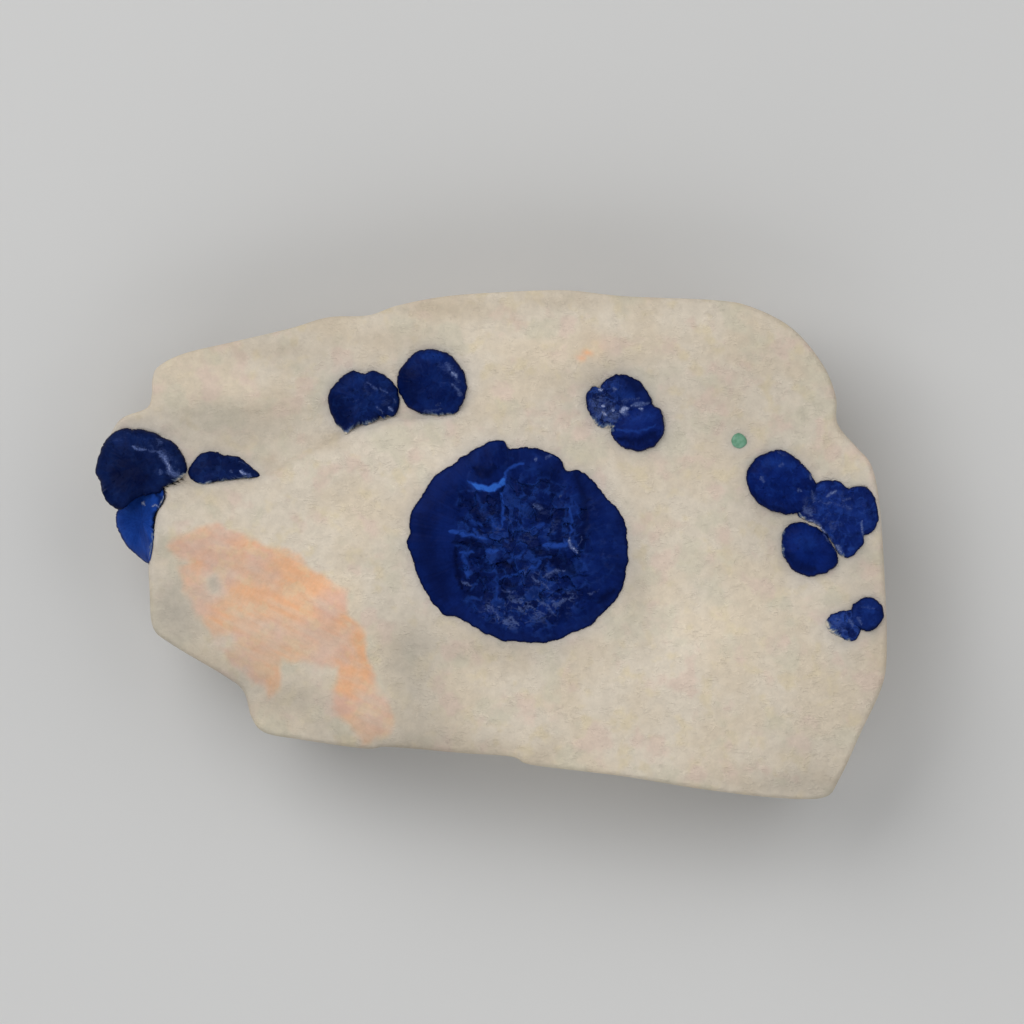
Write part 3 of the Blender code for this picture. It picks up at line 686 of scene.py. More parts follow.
# Marks: bright partly painted light, frost partly painted glints, dark partly painted shade
CENTRAL_MARKS = {
    "bright_and_lit": [
        ([(503, 480), (505, 474), (509, 469), (516, 465), (524, 463)], 1.8, 0.58),
        ([(449, 531), (462, 534), (474, 536), (488, 539)], 2.6, 0.66), ([(474, 528), (480, 540)], 1.8, 0.5),
        ([(501, 492), (503, 505), (503, 518), (500, 532)], 1.9, 0.60),
        ([(569, 508), (572, 522), (570, 536)], 1.8, 0.50),
        ([(488, 516), (500, 530)], 4.0, 0.38), ([(543, 544), (556, 546), (568, 543)], 3.2, 0.66),
        ([(463, 554), (466, 566), (468, 578)], 3.2, 0.44), ([(460, 552), (474, 553)], 2.2, 0.5),
        ([(486, 551), (498, 551)], 3.2, 0.62), ([(529, 569), (536, 567), (541, 560)], 2.2, 0.5),
        ([(531, 529), (545, 524)], 3.0, 0.45), ([(499, 579), (515, 574), (526, 569)], 1.8, 0.5),
        ([(495, 564), (498, 580), (496, 600)], 1.8, 0.32), ([(507, 561), (522, 555)], 2.6, 0.38),
        ([(533, 560), (552, 556)], 2.2, 0.35), ([(470, 521), (484, 526)], 2.6, 0.36),
        ([(515, 520), (523, 528)], 2.2, 0.34), ([(476, 492), (482, 508)], 2.6, 0.30),
        ([(540, 590), (560, 594)], 2.4, 0.28), ([(470, 600), (480, 612)], 2.4, 0.24),
        ([(575, 500), (580, 520)], 1.6, 0.30), ([(436, 478), (452, 470)], 4.0, 0.16),
        ([(596, 520), (608, 548)], 5.0, 0.12),
    ],
    "frost_and_glints": [
        ([(531, 504), (537, 506), (542, 509)], 2.4, 0.50), ([(559, 496), (562, 495)], 1.5, 0.5),
        ([(534, 460), (538, 460)], 2.4, 0.62), ([(544, 458), (552, 456)], 1.6, 0.4),
        ([(569, 536), (571, 546), (577, 553)], 1.7, 0.85),
        ([(541, 577), (553, 572), (565, 569)], 2.0, 0.52), ([(531, 578), (541, 582), (549, 590)], 1.8, 0.42),
        ([(553, 606), (560, 602), (568, 597)], 2.0, 0.50), ([(501, 590), (516, 592)], 1.8, 0.4),
        ([(486, 604), (496, 612), (500, 620)], 2.0, 0.42), ([(518, 606), (523, 612)], 2.6, 0.55),
        ([(536, 600), (548, 606), (556, 616)], 1.9, 0.46), ([(502, 622), (512, 618), (520, 626)], 1.9, 0.5),
        ([(462, 582), (472, 586)], 1.6, 0.5), ([(583, 536), (578, 546)], 1.3, 0.35),
        ([(440, 620), (430, 604)], 1.6, 0.25), ([(588, 594), (600, 590)], 1.4, 0.3),
    ],
    "dark_and_shaded": [
        ([(474, 468), (486, 473), (496, 468)], 7, 0.75),
        ([(574, 470), (584, 496), (586, 522), (582, 548)], 5, 0.65),
        ([(548, 556), (562, 562), (574, 574)], 8, 0.80), ([(455, 548), (456, 566), (462, 588)], 3.2, 0.85),
        ([(503, 562), (514, 566)], 5, 0.85), ([(530, 549), (541, 553)], 3.6, 0.80),
        ([(501, 594), (514, 598)], 5, 0.7), ([(478, 546), (500, 546)], 3, 0.55),
        ([(474, 572), (486, 580)], 8, 0.5), ([(530, 592), (546, 598)], 6, 0.45),
        ([(524, 512), (548, 520)], 6, 0.35), ([(480, 504), (494, 512)], 6, 0.35),
        ([(420, 520), (430, 560), (446, 598)], 13, 0.50), ([(598, 602), (614, 590)], 4, 0.75),
        ([(452, 542), (480, 545)], 3.4, 0.65), ([(503, 582), (516, 588)], 4.5, 0.7),
        ([(540, 470), (560, 478)], 8, 0.4), ([(470, 500), (480, 520)], 5, 0.4),
    ],
    "veined": [
        ([(484, 614), (512, 606), (545, 608), (572, 596)], 14, 0.95), ([(500, 624), (530, 620)], 7, 0.9),
        ([(520, 576), (560, 580)], 11, 0.7), ([(590, 500), (606, 545), (598, 590)], 12, 0.10),
        ([(480, 530), (560, 530)], 24, 0.30),
    ],
}
# The gap under a sun, how far its painted shade reaches out, and how many of its depths down it goes
SEAT_GAP, PAINTED_SHADE_REACH, PAINTED_SHADE_DEPTH = 0.3 * MM, 1.4 * MM, 1.6
# A lowered rim lies at most this far under the clay. Rims are evened out over one part in five
RIM_SINKING, RIM_EVENING = 0.15 * MM, 5


class Disc:
    """One sun in plan: its outline, the plane of its rim in the slab, its rise and its root.

    drop sets it lower than the face, and lean is the way it falls (degrees) and its slope. The clay is
    open under it from open_by outside its outline, or from that far inside where it is below nought.
    broken says how far its skin has flaked off, and tint how its blue differs from the central sun's.
    """

    def __init__(self, pixels, rise, depth, drop=0.0, lean=(0, 0.0), spokes=250, open_by=-0.6 * MM,
                 tint=(1, 1, 1), broken=0.0):
        self.outline = closed_curve(pixels, spokes)
        self.middle = self.outline.mean(axis=0)
        self.rise, self.depth, self.open_by = rise, depth, open_by
        self.tint, self.broken = tint, broken
        falls = lean[1] * (self.outline - self.middle) @ facing(lean[0])
        self.rim = face_height(self.outline) - drop - falls
        self.height = self.rim.mean()
        if drop:
            self.rim = np.maximum(self.rim, clay_height(self.outline) - RIM_SINKING)
        window = np.hanning(spokes // RIM_EVENING + 2)
        around = np.concatenate([self.rim] * 3)
        self.even_rim = np.convolve(around, window / window.sum(), "same")[spokes:2 * spokes]

    def reach(self, spots):
        """How far the outline is from the disc's middle, in the direction of each spot."""
        return reach_of(self.outline, self.middle, spots)

    def inside_by(self, spots):
        """How far inside the disc's outline spots are: below nought outside it."""
        return self.reach(spots) - np.linalg.norm(spots - self.middle, axis=1)

    def plane(self, spots):
        """Height of the plane of the rim at spots, which is a shallow cone where the rim is uneven."""
        rim = towards(spots, self.outline, self.middle, self.even_rim)
        return self.height + (rim - self.height) * (1 - self.inside_by(spots) / self.reach(spots))

    def root(self, spots):
        """Height of the disc's underside at spots inside its outline."""
        shares = 1 - self.inside_by(spots) / self.reach(spots)
        return self.plane(spots) - self.depth * np.sqrt(np.maximum(0, 1 - shares**3))

    def flaked(self, spots):
        """How far the skin has flaked off at spots, from 0 to 1."""
        return self.broken(spots) if callable(self.broken) else np.full(len(spots), self.broken)


def seat(disc):
    """Lowers the slab's face to the root of a disc, and paints shade on the clay round it, darker and bluer.
    """
    mesh = slab.data
    points = np.empty(3 * len(mesh.vertices), np.float32)
    mesh.vertices.foreach_get("co", points)
    points = points.reshape(-1, 3)
    face = np.append(np.arange(FACE_POINTS), len(points) - 2)
    spots = points[face, :2]
    lowered = np.minimum(points[face, 2], disc.root(spots) - SEAT_GAP)
    points[face, 2] = np.where(disc.inside_by(spots) > -disc.open_by, lowered, points[face, 2])
    mesh.vertices.foreach_set("co", points.ravel())
    grime = np.empty(len(points), np.float32)
    stored_painted_shade = mesh.attributes["grime"].data
    stored_painted_shade.foreach_get("value", grime)
    near = np.exp(np.minimum(0, disc.inside_by(points[:, :2])) / PAINTED_SHADE_REACH)
    near *= smooth_step((points[:, 2] - disc.height) / disc.depth + PAINTED_SHADE_DEPTH)
    stored_painted_shade.foreach_set("value", np.maximum(grime, near).astype(np.float32))
    mesh.update()


TREE_SIZES = [
    "Rise", "Depth", "Rib Height", "Lump Height", "Lump Size", "Plate Size", "Plate Step", "Plate Tilt",
    "Scarp Drop", "Crystal Density", "Crystal Length", "Crystal Width",
]
TREE_INPUTS = {"Disc": "Geometry", **dict.fromkeys(TREE_SIZES, "Float"), "Seed": "Int", "Finish": "Material"}
# Chips on the plates, beside the plates themselves: their size, their step and their tilt
CHIP_SIZE, CHIP_STEP, CHIP_TILT = 0.42, 0.55, 0.6
JOINT_WIDTH, JOINT_DEPTH, SEED_SHIFT = 0.12, 0.15, {"X": 0.37, "Y": 0.21}
# Blade crystals: the lowest and the highest that they point, how far they lean outwards, and their form
BLADE_LOW, BLADE_HIGH, BLADE_LEAN, BLADE_FLATNESS = (-0.9, -0.9, 0.10), (0.9, 0.9, 0.55), 0.5, 0.45
BLADE_SHAPE = {"Vertices": 5, "Radius Top": 0.28, "Radius Bottom": 0.5, "Depth": 1.0}


def named(tree, name, kind="FLOAT"):
    """A value that the disc's mesh stores for each point."""
    return add(tree, "GeometryNodeInputNamedAttribute", {"data_type": kind}, {"Name": name}, "Attribute")


def stored(geometry, name, value):
    """Geometry with one more value stored at each point."""
    inputs = {"Geometry": geometry, "Name": name, "Value": value}
    settings = {"data_type": "FLOAT", "domain": "POINT"}
    return geometry.add("GeometryNodeStoreNamedAttribute", settings, inputs)


def vector(operation, first, *others):
    """A Vector Math node on a wire and on what follows it."""
    inputs = dict(enumerate((first, *others)))
    if operation == "SCALE":
        inputs = {0: first, "Scale": others[0]}
    return first.add("ShaderNodeVectorMath", {"operation": operation}, inputs)


def bent(where, scale, detail, amount, settings=()):
    """Places shifted about on the plan by soft noise, up to half an amount each way."""
    inputs = {"Vector": where, "Scale": scale, "Detail": detail}
    bend = where.add("ShaderNodeTexNoise", settings, inputs, "Color")
    bend = vector("MULTIPLY_ADD", bend, (1, 1, 0), (-0.5, -0.5, 0))
    return vector("ADD", where, vector("SCALE", bend, amount))


def uneven(where, scale, detail):
    """Noise from -1 to 1."""
    inputs = {"Vector": where, "Scale": scale, "Detail": detail}
    return (where.add("ShaderNodeTexNoise", {}, inputs) - 0.5) * 2.0


def chance(where, low, high, seed):
    """A random direction or turn for each point."""
    inputs = {0: low, 1: high, "Seed": seed}
    return where.add("FunctionNodeRandomValue", {"data_type": "FLOAT_VECTOR"}, inputs)


def plates(where, size):
    """Flat square-edged cells on the plan: a level for each, the way it tilts, and where its joints are."""
    settings = {"voronoi_dimensions": "2D", "distance": "CHEBYCHEV"}
    inputs = {"Vector": where, "Scale": size ** -1.0, "Randomness": 0.95}
    cells = where.add("ShaderNodeTexVoronoi", {**settings, "feature": "F1"}, inputs)
    second = where.add("ShaderNodeTexVoronoi", {**settings, "feature": "F2"}, inputs)
    leaning = vector("MULTIPLY_ADD", cells.also("Color"), (1, 1, 0), (-0.5, -0.5, 0))
    away = vector("SUBTRACT", where, cells.also("Position"))
    tilt = where.add("ShaderNodeVectorMath", {"operation": "DOT_PRODUCT"}, {0: away, 1: leaning}, "Value")
    level = where.add("ShaderNodeSeparateXYZ", {}, {"Vector": cells.also("Color")}, "Z")
    return level, tilt, second - cells


def grow_azurite():
    """The tree that grows a sun on a flat disc: dome, ribs, lumps, broken plates and small crystals."""
    tree = bpy.data.node_groups.new("azurite sun", "GeometryNodeTree")
    for name, kind in TREE_INPUTS.items():
        tree.interface.new_socket(name=name, in_out="INPUT", socket_type="NodeSocket" + kind)
    tree.interface.new_socket(name="Geometry", in_out="OUTPUT", socket_type="NodeSocketGeometry")
    given = add(tree, "NodeGroupInput")
    get = {name: given.also(name) for name in TREE_INPUTS}
    where = add(tree, "GeometryNodeInputPosition")
    share, under, broken = (named(tree, name) for name in ("share", "under", "broken"))
    fibre, outward = (named(tree, name, "FLOAT_VECTOR") for name in ("fibre", "outward"))
    shift = {axis: get["Seed"] * amount for axis, amount in SEED_SHIFT.items()}
    # Plates: flat cells, each at its own level and tilt, with an open joint round it, and chips on them
    size, step, plate_tilt = get["Plate Size"], get["Plate Step"], get["Plate Tilt"]
    moved = vector("ADD", where, where.add("ShaderNodeCombineXYZ", {}, shift))
    moved = bent(moved, (size * 1.1) ** -1.0, 1.0, size * 0.8, {"noise_dimensions": "2D"})
    level, tilt, joint = plates(moved, size)
    chip_level, chip_tilt, chip_joint = plates(moved, size * CHIP_SIZE)
    relief = (level - 0.5) * step + tilt * plate_tilt
    relief = relief - (1 - joint.rise(0.0, JOINT_WIDTH)) * step * JOINT_DEPTH
    relief = relief + (chip_level - 0.5) * step * CHIP_STEP + chip_tilt * plate_tilt * CHIP_TILT
    relief = relief - get["Scarp Drop"]
    # The whole surface: the dome, its lumps, and ribs that follow the radial crystals
    dome = (1 - share**3.0) ** 0.5
    lump = uneven(moved, get["Lump Size"] ** -1.0, 1.5) * get["Lump Height"]
    rib = uneven(fibre, 1.0, 2.0) * get["Rib Height"]
    relief = (lump + relief * broken) * (1 - share.rise(0.72, 1.0)) + rib * share.rise(0.12, 0.6)
    lift = (get["Rise"] * dome + relief) * (1 - under) - get["Depth"] * dome * under
    up = where.add("ShaderNodeCombineXYZ", {}, {"Z": lift})
    skin = where.add("GeometryNodeSetPosition", {}, {"Geometry": get["Disc"], "Offset": up})
    joints = 1 - joint.rise(0.05, 0.30)
    joints = joints.math("MAXIMUM", joints, (1 - chip_joint.rise(0.02, 0.25)) * 0.25)
    skin = stored(skin, "web", joints * broken)
    skin = stored(skin, "tone", level * 0.7 + chip_level * 0.3)
    # Small blade crystals lie on the broken part, leaning outwards
    density = get["Crystal Density"] * broken * (1 - under) * (1 - share.rise(0.86, 0.95))
    inputs = {"Mesh": skin, "Density": density, "Seed": get["Seed"]}
    seeds = where.add("GeometryNodeDistributePointsOnFaces", {"distribute_method": "RANDOM"}, inputs)
    aim = chance(where, BLADE_LOW, BLADE_HIGH, get["Seed"])
    aim = vector("ADD", aim, vector("SCALE", outward, BLADE_LEAN))
    spin = chance(where, (0, 0, 0), (0, 0, 2 * math.pi), get["Seed"] + 1)
    inputs = {"Rotation": spin, "Vector": aim}
    turn = where.add("FunctionNodeAlignRotationToVector", {"axis": "Z"}, inputs)
    width, length = get["Crystal Width"], get["Crystal Length"]
    whole = where.add("ShaderNodeCombineXYZ", {}, {"X": width, "Y": width * BLADE_FLATNESS, "Z": length})
    span = {2: 0.35, 3: 1.0, "Seed": get["Seed"] + 2}
    grade = where.add("FunctionNodeRandomValue", {"data_type": "FLOAT"}, span, 1)
    blade = where.add("GeometryNodeMeshCone", {}, BLADE_SHAPE)
    blade = where.add("GeometryNodeSetShadeSmooth", {}, {"Geometry": blade, "Shade Smooth": False})
    inputs = {"Points": seeds, "Instance": blade, "Rotation": turn, "Scale": vector("SCALE", whole, grade)}
    grown = where.add("GeometryNodeInstanceOnPoints", {}, inputs)
    grown = where.add("GeometryNodeRealizeInstances", {}, {"Geometry": grown})
    joined = where.add("GeometryNodeJoinGeometry", {}, {"Geometry": skin})
    tree.links.new(grown.output, joined.output.node.inputs[0])
    done = where.add("GeometryNodeRealizeInstances", {}, {"Geometry": joined})
    done = where.add("GeometryNodeSetMaterial", {}, {"Geometry": done, "Material": get["Finish"]})
    out = tree.nodes.new("NodeGroupOutput")
    tree.links.new(done.output, out.inputs[0])
    return tree


azurite_tree = grow_azurite()

AZURITE_DARK_AND_SHADED, AZURITE_DEEP = (0.0006, 0.0022, 0.024), (0.0014, 0.0066, 0.062)
AZURITE_BLUE, AZURITE_EDGE = (0.0042, 0.0170, 0.130), (0.0110, 0.0400, 0.215)
AZURITE_BRIGHT_AND_LIT, AZURITE_VIVID = (0.015, 0.060, 0.330), (0.028, 0.128, 0.540)
AZURITE_VEIN, AZURITE_FROST_AND_GLINT, CLAY_DUST = (0.070, 0.106, 0.270), (0.290, 0.335, 0.540), (0.60, 0.54, 0.44)
AZURITE_DUSTY = (0.120, 0.170, 0.270)
# Sizes of its clouds, patches, lit places, fine grain and crumbs, and its veins
CLOUD, PATCH, LIT, FINE, CRUMB = 3.0 * MM, 1.7 * MM, 1.2 * MM, 0.36 * MM, 0.24 * MM
VEIN_SPACING, AZURITE_BUMP = 1.35 * MM, 0.06 * MM
VEINS_UP = (52, VEIN_SPACING * 1.5, VEIN_SPACING * 0.5, 0.46, 0.07)
VEINS_DOWN = (-28, VEIN_SPACING * 1.3, VEIN_SPACING * 0.45, 0.42, 0.07)


def veins_of(where, spacing):
    """Thin angular lines, drawn on the plan between cells that are bent a little."""
    settings = {"voronoi_dimensions": "2D", "feature": "DISTANCE_TO_EDGE"}
    inputs = {"Vector": bent(where, 1.4 / spacing, 2.0, 0.8 * spacing), "Scale": 1 / spacing}
    return 1 - where.add("ShaderNodeTexVoronoi", settings, inputs).rise(0.0, 0.15)


def azurite(tree):
    """Deep blue with what each sun's marks add: darker places and painted shade, lighter places and painted
    light, veins, frosted crumbs and painted glints, and clay dust.
    """
    where = add(tree, "ShaderNodeTexCoord", output="Object")
    marks = value_of(tree, "marks", "Color")
    dark_and_shaded = marks.also("Alpha")
    bright_and_lit, frost_and_glints, dust = parts_of(marks)
    fibre, tint = (value_of(tree, name, "Vector") for name in ("fibre", "tint"))
    web, tone, broken, inset, veined = (
        value_of(tree, name) for name in ("web", "tone", "broken", "inset", "veined")
    )
    strands = grains(fibre, 1.0, 3)
    cloud = grains(where, CLOUD, 3)
    lit = grains(where, LIT, 2)
    fine = grains(where, FINE, 3, 0.5)
    depth = cloud.rise(0.34, 0.68) * 0.52 + strands.rise(0.32, 0.70) * 0.22 + fine.rise(0.30, 0.70) * 0.22
    colour = depth.mix(AZURITE_DEEP, AZURITE_BLUE)
    # Broken skin: painted shade darkens the low plates; the joints are paler, and painted light pales the
    # high plates' edges
    hollow = broken * (1 - tone.rise(0.28, 0.55)) * 0.45
    colour = hollow.mix(colour, AZURITE_DARK_AND_SHADED)
    patch = grains(where, PATCH, 2).rise(0.44, 0.60)
    pale_joints_and_lit_plates = web * patch + broken * tone.rise(0.52, 0.72) * grains(where, 2.4 * MM, 2).rise(0.42, 0.58) * 0.8
    colour = (pale_joints_and_lit_plates.capped() * 0.75).mix(colour, AZURITE_EDGE)
    colour = vector("MULTIPLY", colour, tint)
    # Darker blue, partly painted shade on the sides of the domes
    colour = (dark_and_shaded * (0.55 + cloud * 0.7)).capped().mix(colour, AZURITE_DARK_AND_SHADED)
    # Painted shade: each sun darker along its outline, within about 0.4 mm of it
    colour = ((1 - inset.rise(0.08, 0.42)) * 0.68).mix(colour, AZURITE_DARK_AND_SHADED)
    # Bright breaks and painted light, from a clear blue to a vivid one where they are strongest
    bright_and_lit = bright_and_lit * (0.35 + fine * 0.6 + lit * 0.7)
    colour = (bright_and_lit.rise(0.05, 0.66) * 0.85).mix(colour, AZURITE_BRIGHT_AND_LIT)
    colour = (bright_and_lit.rise(0.66, 0.94) * (0.55 + cloud * 0.7)).capped().mix(colour, AZURITE_VIVID)
    # Pale veins, then frost in crumbs, partly painted glints, then clay dust whose edge is toothed by the
    # fibres
    veins = cracks(where, *VEINS_UP) + cracks(where, *VEINS_DOWN)
    veins = veins + veins_of(where, VEIN_SPACING * 0.8) * lit.rise(0.48, 0.62) * 0.7
    veins = (veins.capped() * veined * (0.35 + fine * 0.75)).capped()
    colour = veins.mix(colour, AZURITE_VEIN)
    crumbs = grains(where, CRUMB, 2, 0.3) - 0.5
    frosted = (frost_and_glints + crumbs * 0.9 + (lit - 0.5) * 0.4).rise(0.06, 0.80) * frost_and_glints.rise(0.02, 0.2)
    colour = frosted.mix(colour, AZURITE_VEIN)
    colour = (frost_and_glints + crumbs * 1.3).rise(0.64, 1.10).mix(colour, AZURITE_FROST_AND_GLINT)
    teeth = (grains(fibre, 1.0, 2) - 0.5) * 1.5 + crumbs * 0.6
    colour = ((dust + teeth).rise(0.10, 0.55) * dust.rise(0.02, 0.2) * 0.75).mix(colour, AZURITE_DUSTY)
    dusty = (dust + teeth).rise(0.48, 1.0) * dust.rise(0.1, 0.4)
    colour = dusty.mix(colour, CLAY_DUST)
    roughness = 0.34 + cloud * 0.12 + frosted * 0.3 + dusty * 0.4
    height = strands * 0.35 + fine * 0.35 + lit * 0.6 + veins * 0.4
    return colour, roughness.capped(0.9), height, AZURITE_BUMP


azurite_finish = material_of("azurite", azurite, Specular_IOR_Level=0.03)
TOP_RINGS, UNDER_RING_SHARES = 60, [0.985, 0.94, 0.85, 0.70, 0.50, 0.25]
OUTLINE_GROWTH, RIM_TURN = 0.10 * MM, 9
FIBRE_WIDTH, FIBRE_BEND = 0.5 * MM, 2.5
# The rim's scallops: notches where a noise of two sizes is near nought, and waves and ripples
NOTCH_GRAINS, NOTCH_WIDTH, NOTCH_DEPTH = (1.9 * MM, 0.8 * MM), 0.06, 0.8
WAVE_GRAIN, WAVE_DEPTH, RIPPLE_GRAIN, RIPPLE_DEPTH = 1.7 * MM, 2.2, 0.6 * MM, 0.9
SUN_SHAKE = (0.35 * MM, 0.9 * MM, 5.0)
VIVID_SOFTNESS, SHARP_ANGLE = 0.5 * MM, 38


def strength(strokes, spots):
    """How strongly spots are marked by drawn strokes: lines of pixels, half width in pixels, strength."""
    total = np.zeros(len(spots))
    for line, half_width, amount in strokes:
        apart, along = beside(line, spots)
        taper = 0.3 + 0.7 * np.sqrt(np.maximum(0, 1 - (2 * along - 1) ** 2))
        nearness = apart / (half_width * PIXEL * taper)
        total = np.maximum(total, amount * np.exp(-nearness * nearness))
    return total


def disc_mesh(disc, rings, scallop):
    """Rings of points for one flat disc, top and underside, with what each point needs to know."""
    away = disc.outline - disc.middle
    angles = np.arctan2(away[:, 1], away[:, 0])
    reach = np.linalg.norm(away, axis=1)
    outward = np.column_stack([np.cos(angles), np.sin(angles)])
    around = outward * reach.mean()
    notches = swell(around, NOTCH_GRAINS[0]) + 0.6 * swell(around, NOTCH_GRAINS[1], 3.0)
    inset = NOTCH_DEPTH * np.exp(-((notches / NOTCH_WIDTH) ** 2))
    inset = scallop * (inset + WAVE_DEPTH * swell(around, WAVE_GRAIN, 6.0))
    inset += scallop * RIPPLE_DEPTH * swell(around, RIPPLE_GRAIN, 12.0)
    rim = away * ((reach - inset + OUTLINE_GROWTH) / reach)[:, None]
    shares = np.sin(np.linspace(0, 1, rings + 1)[1:] * math.pi / 2)
    fibre = np.column_stack([around / FIBRE_WIDTH, np.zeros(len(angles))])
    layers, values = [], []
    for under, these in ((0, shares), (1, UNDER_RING_SHARES)):
        for share in these:
            height = disc.height + (disc.even_rim - disc.height) * share
            height = height + (disc.rim - disc.even_rim) * share**RIM_TURN
            layers.append(np.column_stack([disc.middle + share * rim, height]))
            same = np.ones(len(angles))
            inset_mm = (1 - share) * reach / MM
            along = fibre + (0, 0, FIBRE_BEND * share)
            values.append(np.column_stack([share * same, under * same, inset_mm, along, outward]))
    return layers, values


def sun(name, discs, rings=TOP_RINGS, marks=(), scallop=0.13 * MM, **sizes):
    """Makes one piece of one or more discs: seats them, draws their marks and grows them with the tree."""
    parts = []
    for disc in discs:
        seat(disc)
        layers, values = disc_mesh(disc, rings, scallop)
        part = lofted(name, layers, (*disc.middle, disc.height), (*disc.middle, disc.height))
        middle_inset = disc.reach(disc.middle[None] + (MM, 0))[0] / MM
        ends = [[0, under, middle_inset, 0, 0, 0, 0, 0] for under in (0, 1)]
        values = np.vstack([np.concatenate(values), ends])
        spots = np.vstack([np.concatenate(layers)[:, :2], disc.middle, disc.middle])
        count = len(spots)
        shaken = spots + shake(spots, *SUN_SHAKE)
        # Marks: bright partly painted light, frost partly painted glints, dark partly painted shade
        kinds = ("bright_and_lit", "frost_and_glints", "dust", "dark_and_shaded", "veined")
        bright_and_lit, *others, veined = (strength(dict(marks).get(kind, ()), shaken) for kind in kinds)
        if "vivid" in dict(marks):
            bright_and_lit = np.maximum(bright_and_lit, within(marks["vivid"], shaken, VIVID_SOFTNESS))
        known = {
            "share": values[:, 0], "under": values[:, 1], "inset": values[:, 2], "fibre": values[:, 3:6],
            "outward": np.column_stack([values[:, 6:8] * values[:, :1], np.zeros(count)]),
            "rise": np.full(count, disc.rise), "depth": np.full(count, disc.depth),
            "tint": np.tile(disc.tint, (count, 1)), "broken": disc.flaked(shaken),
            "marks": np.column_stack([bright_and_lit, *others]), "veined": veined,
        }
        for label, value in known.items():
            mark(part, label, value)
        parts.append(part)
    if len(parts) > 1:
        with bpy.context.temp_override(active_object=parts[0], selected_editable_objects=parts):
            bpy.ops.object.join()
    obj = parts[0]
    modifier = obj.modifiers.new("growth", "NODES")
    modifier.node_group = azurite_tree
    for item in azurite_tree.interface.items_tree:
        if item.item_type != "SOCKET" or item.in_out != "INPUT":
            continue
        if item.name in ("Rise", "Depth"):
            modifier[item.identifier + "_use_attribute"] = True
            modifier[item.identifier + "_attribute_name"] = item.name.lower()
        elif item.name in sizes:
            modifier[item.identifier] = sizes[item.name]
    graph = bpy.context.evaluated_depsgraph_get()
    grown = obj.evaluated_get(graph)
    mesh = bpy.data.meshes.new_from_object(grown, preserve_all_data_layers=True, depsgraph=graph)
    obj.modifiers.clear()
    obj.data = mesh
    mesh.set_sharp_from_angle(angle=math.radians(SHARP_ANGLE))
    return obj


def azurite_sun(name, node, discs, crystals=1.2e6, plate=1.3 * MM, step=0.26 * MM, **choices):
    """A sun of azurite, with the sizes that all of them share."""
    sizes = {
        "Rib Height": 0.035 * MM, "Lump Height": 0.20 * MM, "Lump Size": 3.0 * MM, "Plate Size": plate,
        "Plate Step": step, "Plate Tilt": 0.40, "Scarp Drop": 0.15 * MM, "Crystal Density": crystals,
        "Crystal Length": 0.50 * MM, "Crystal Width": 0.30 * MM, "Seed": len(name), "Finish": azurite_finish,
    }
    obj = sun(name, discs, **choices, **sizes)
    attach(obj, "root")
    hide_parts(node)


def central_flaked(spots):
    """Whole left of the scarp, a little flaked right of it, and broken in the middle."""
    right = smooth_step(side_of(CENTRAL_SCARP, spots) / SCARP_WIDTH + 0.5)
    return right * (0.20 + 0.80 * within(CENTRAL_BROKEN, spots, BROKEN_SOFTNESS))


central = Disc(CENTRAL_OUTLINE, rise=2.0 * MM, depth=3.6 * MM, spokes=520, broken=central_flaked)
azurite_sun(
    "central_sun_crystals", "central_sun", [central], rings=136, crystals=1.3e6, plate=2.2 * MM,
    step=0.22 * MM, marks={**CENTRAL_MARKS, "vivid": CENTRAL_VIVID},
)


# Upper suns
# Two domed discs that grew side by side at the top left. The clay laps over their lower edges, which
# are ragged and dusted with it.

UPPER_LEFT_OUTLINE = [
    (353, 371), (363, 374), (373, 371), (385, 376), (395, 385), (399, 396), (397, 410), (392, 417),
    (388, 415), (385, 420), (381, 416), (373, 422), (365, 425), (358, 425), (352, 429), (346, 434),
    (341, 428), (334, 420), (329, 405), (330, 391), (340, 378),
]
# Bright and dark marks are partly painted light and shade; frost is partly painted glints
UPPER_LEFT_MARKS = {
    "frost_and_glints": [
        ([(367, 382), (372, 386), (377, 391)], 1.9, 0.36), ([(380, 388), (388, 394)], 1.9, 0.42),
        ([(393, 397), (396, 404)], 1.9, 0.42), ([(389, 407), (392, 411)], 2.0, 0.78),
        ([(376, 406), (383, 414)], 1.8, 0.40), ([(352, 402), (358, 398)], 1.6, 0.26),
    ],
    "dust": [([(334, 424), (345, 437), (358, 429), (376, 424), (397, 417)], 4.6, 0.95)],
    "bright_and_lit": [([(345, 384), (362, 378), (382, 382)], 9, 0.17), ([(368, 396), (386, 400)], 10, 0.15)],
    "dark_and_shaded": [([(334, 396), (342, 414), (352, 420)], 10, 0.55), ([(350, 388), (356, 394)], 3, 0.4)],
    "veined": [([(366, 384), (390, 402)], 12, 0.22)],
}
UPPER_MIDDLE_OUTLINE = [
    (432, 350), (447, 354), (458, 364), (465, 378), (464, 400), (452, 414), (420, 413), (404, 401),
    (398, 386), (401, 368), (415, 353),
]
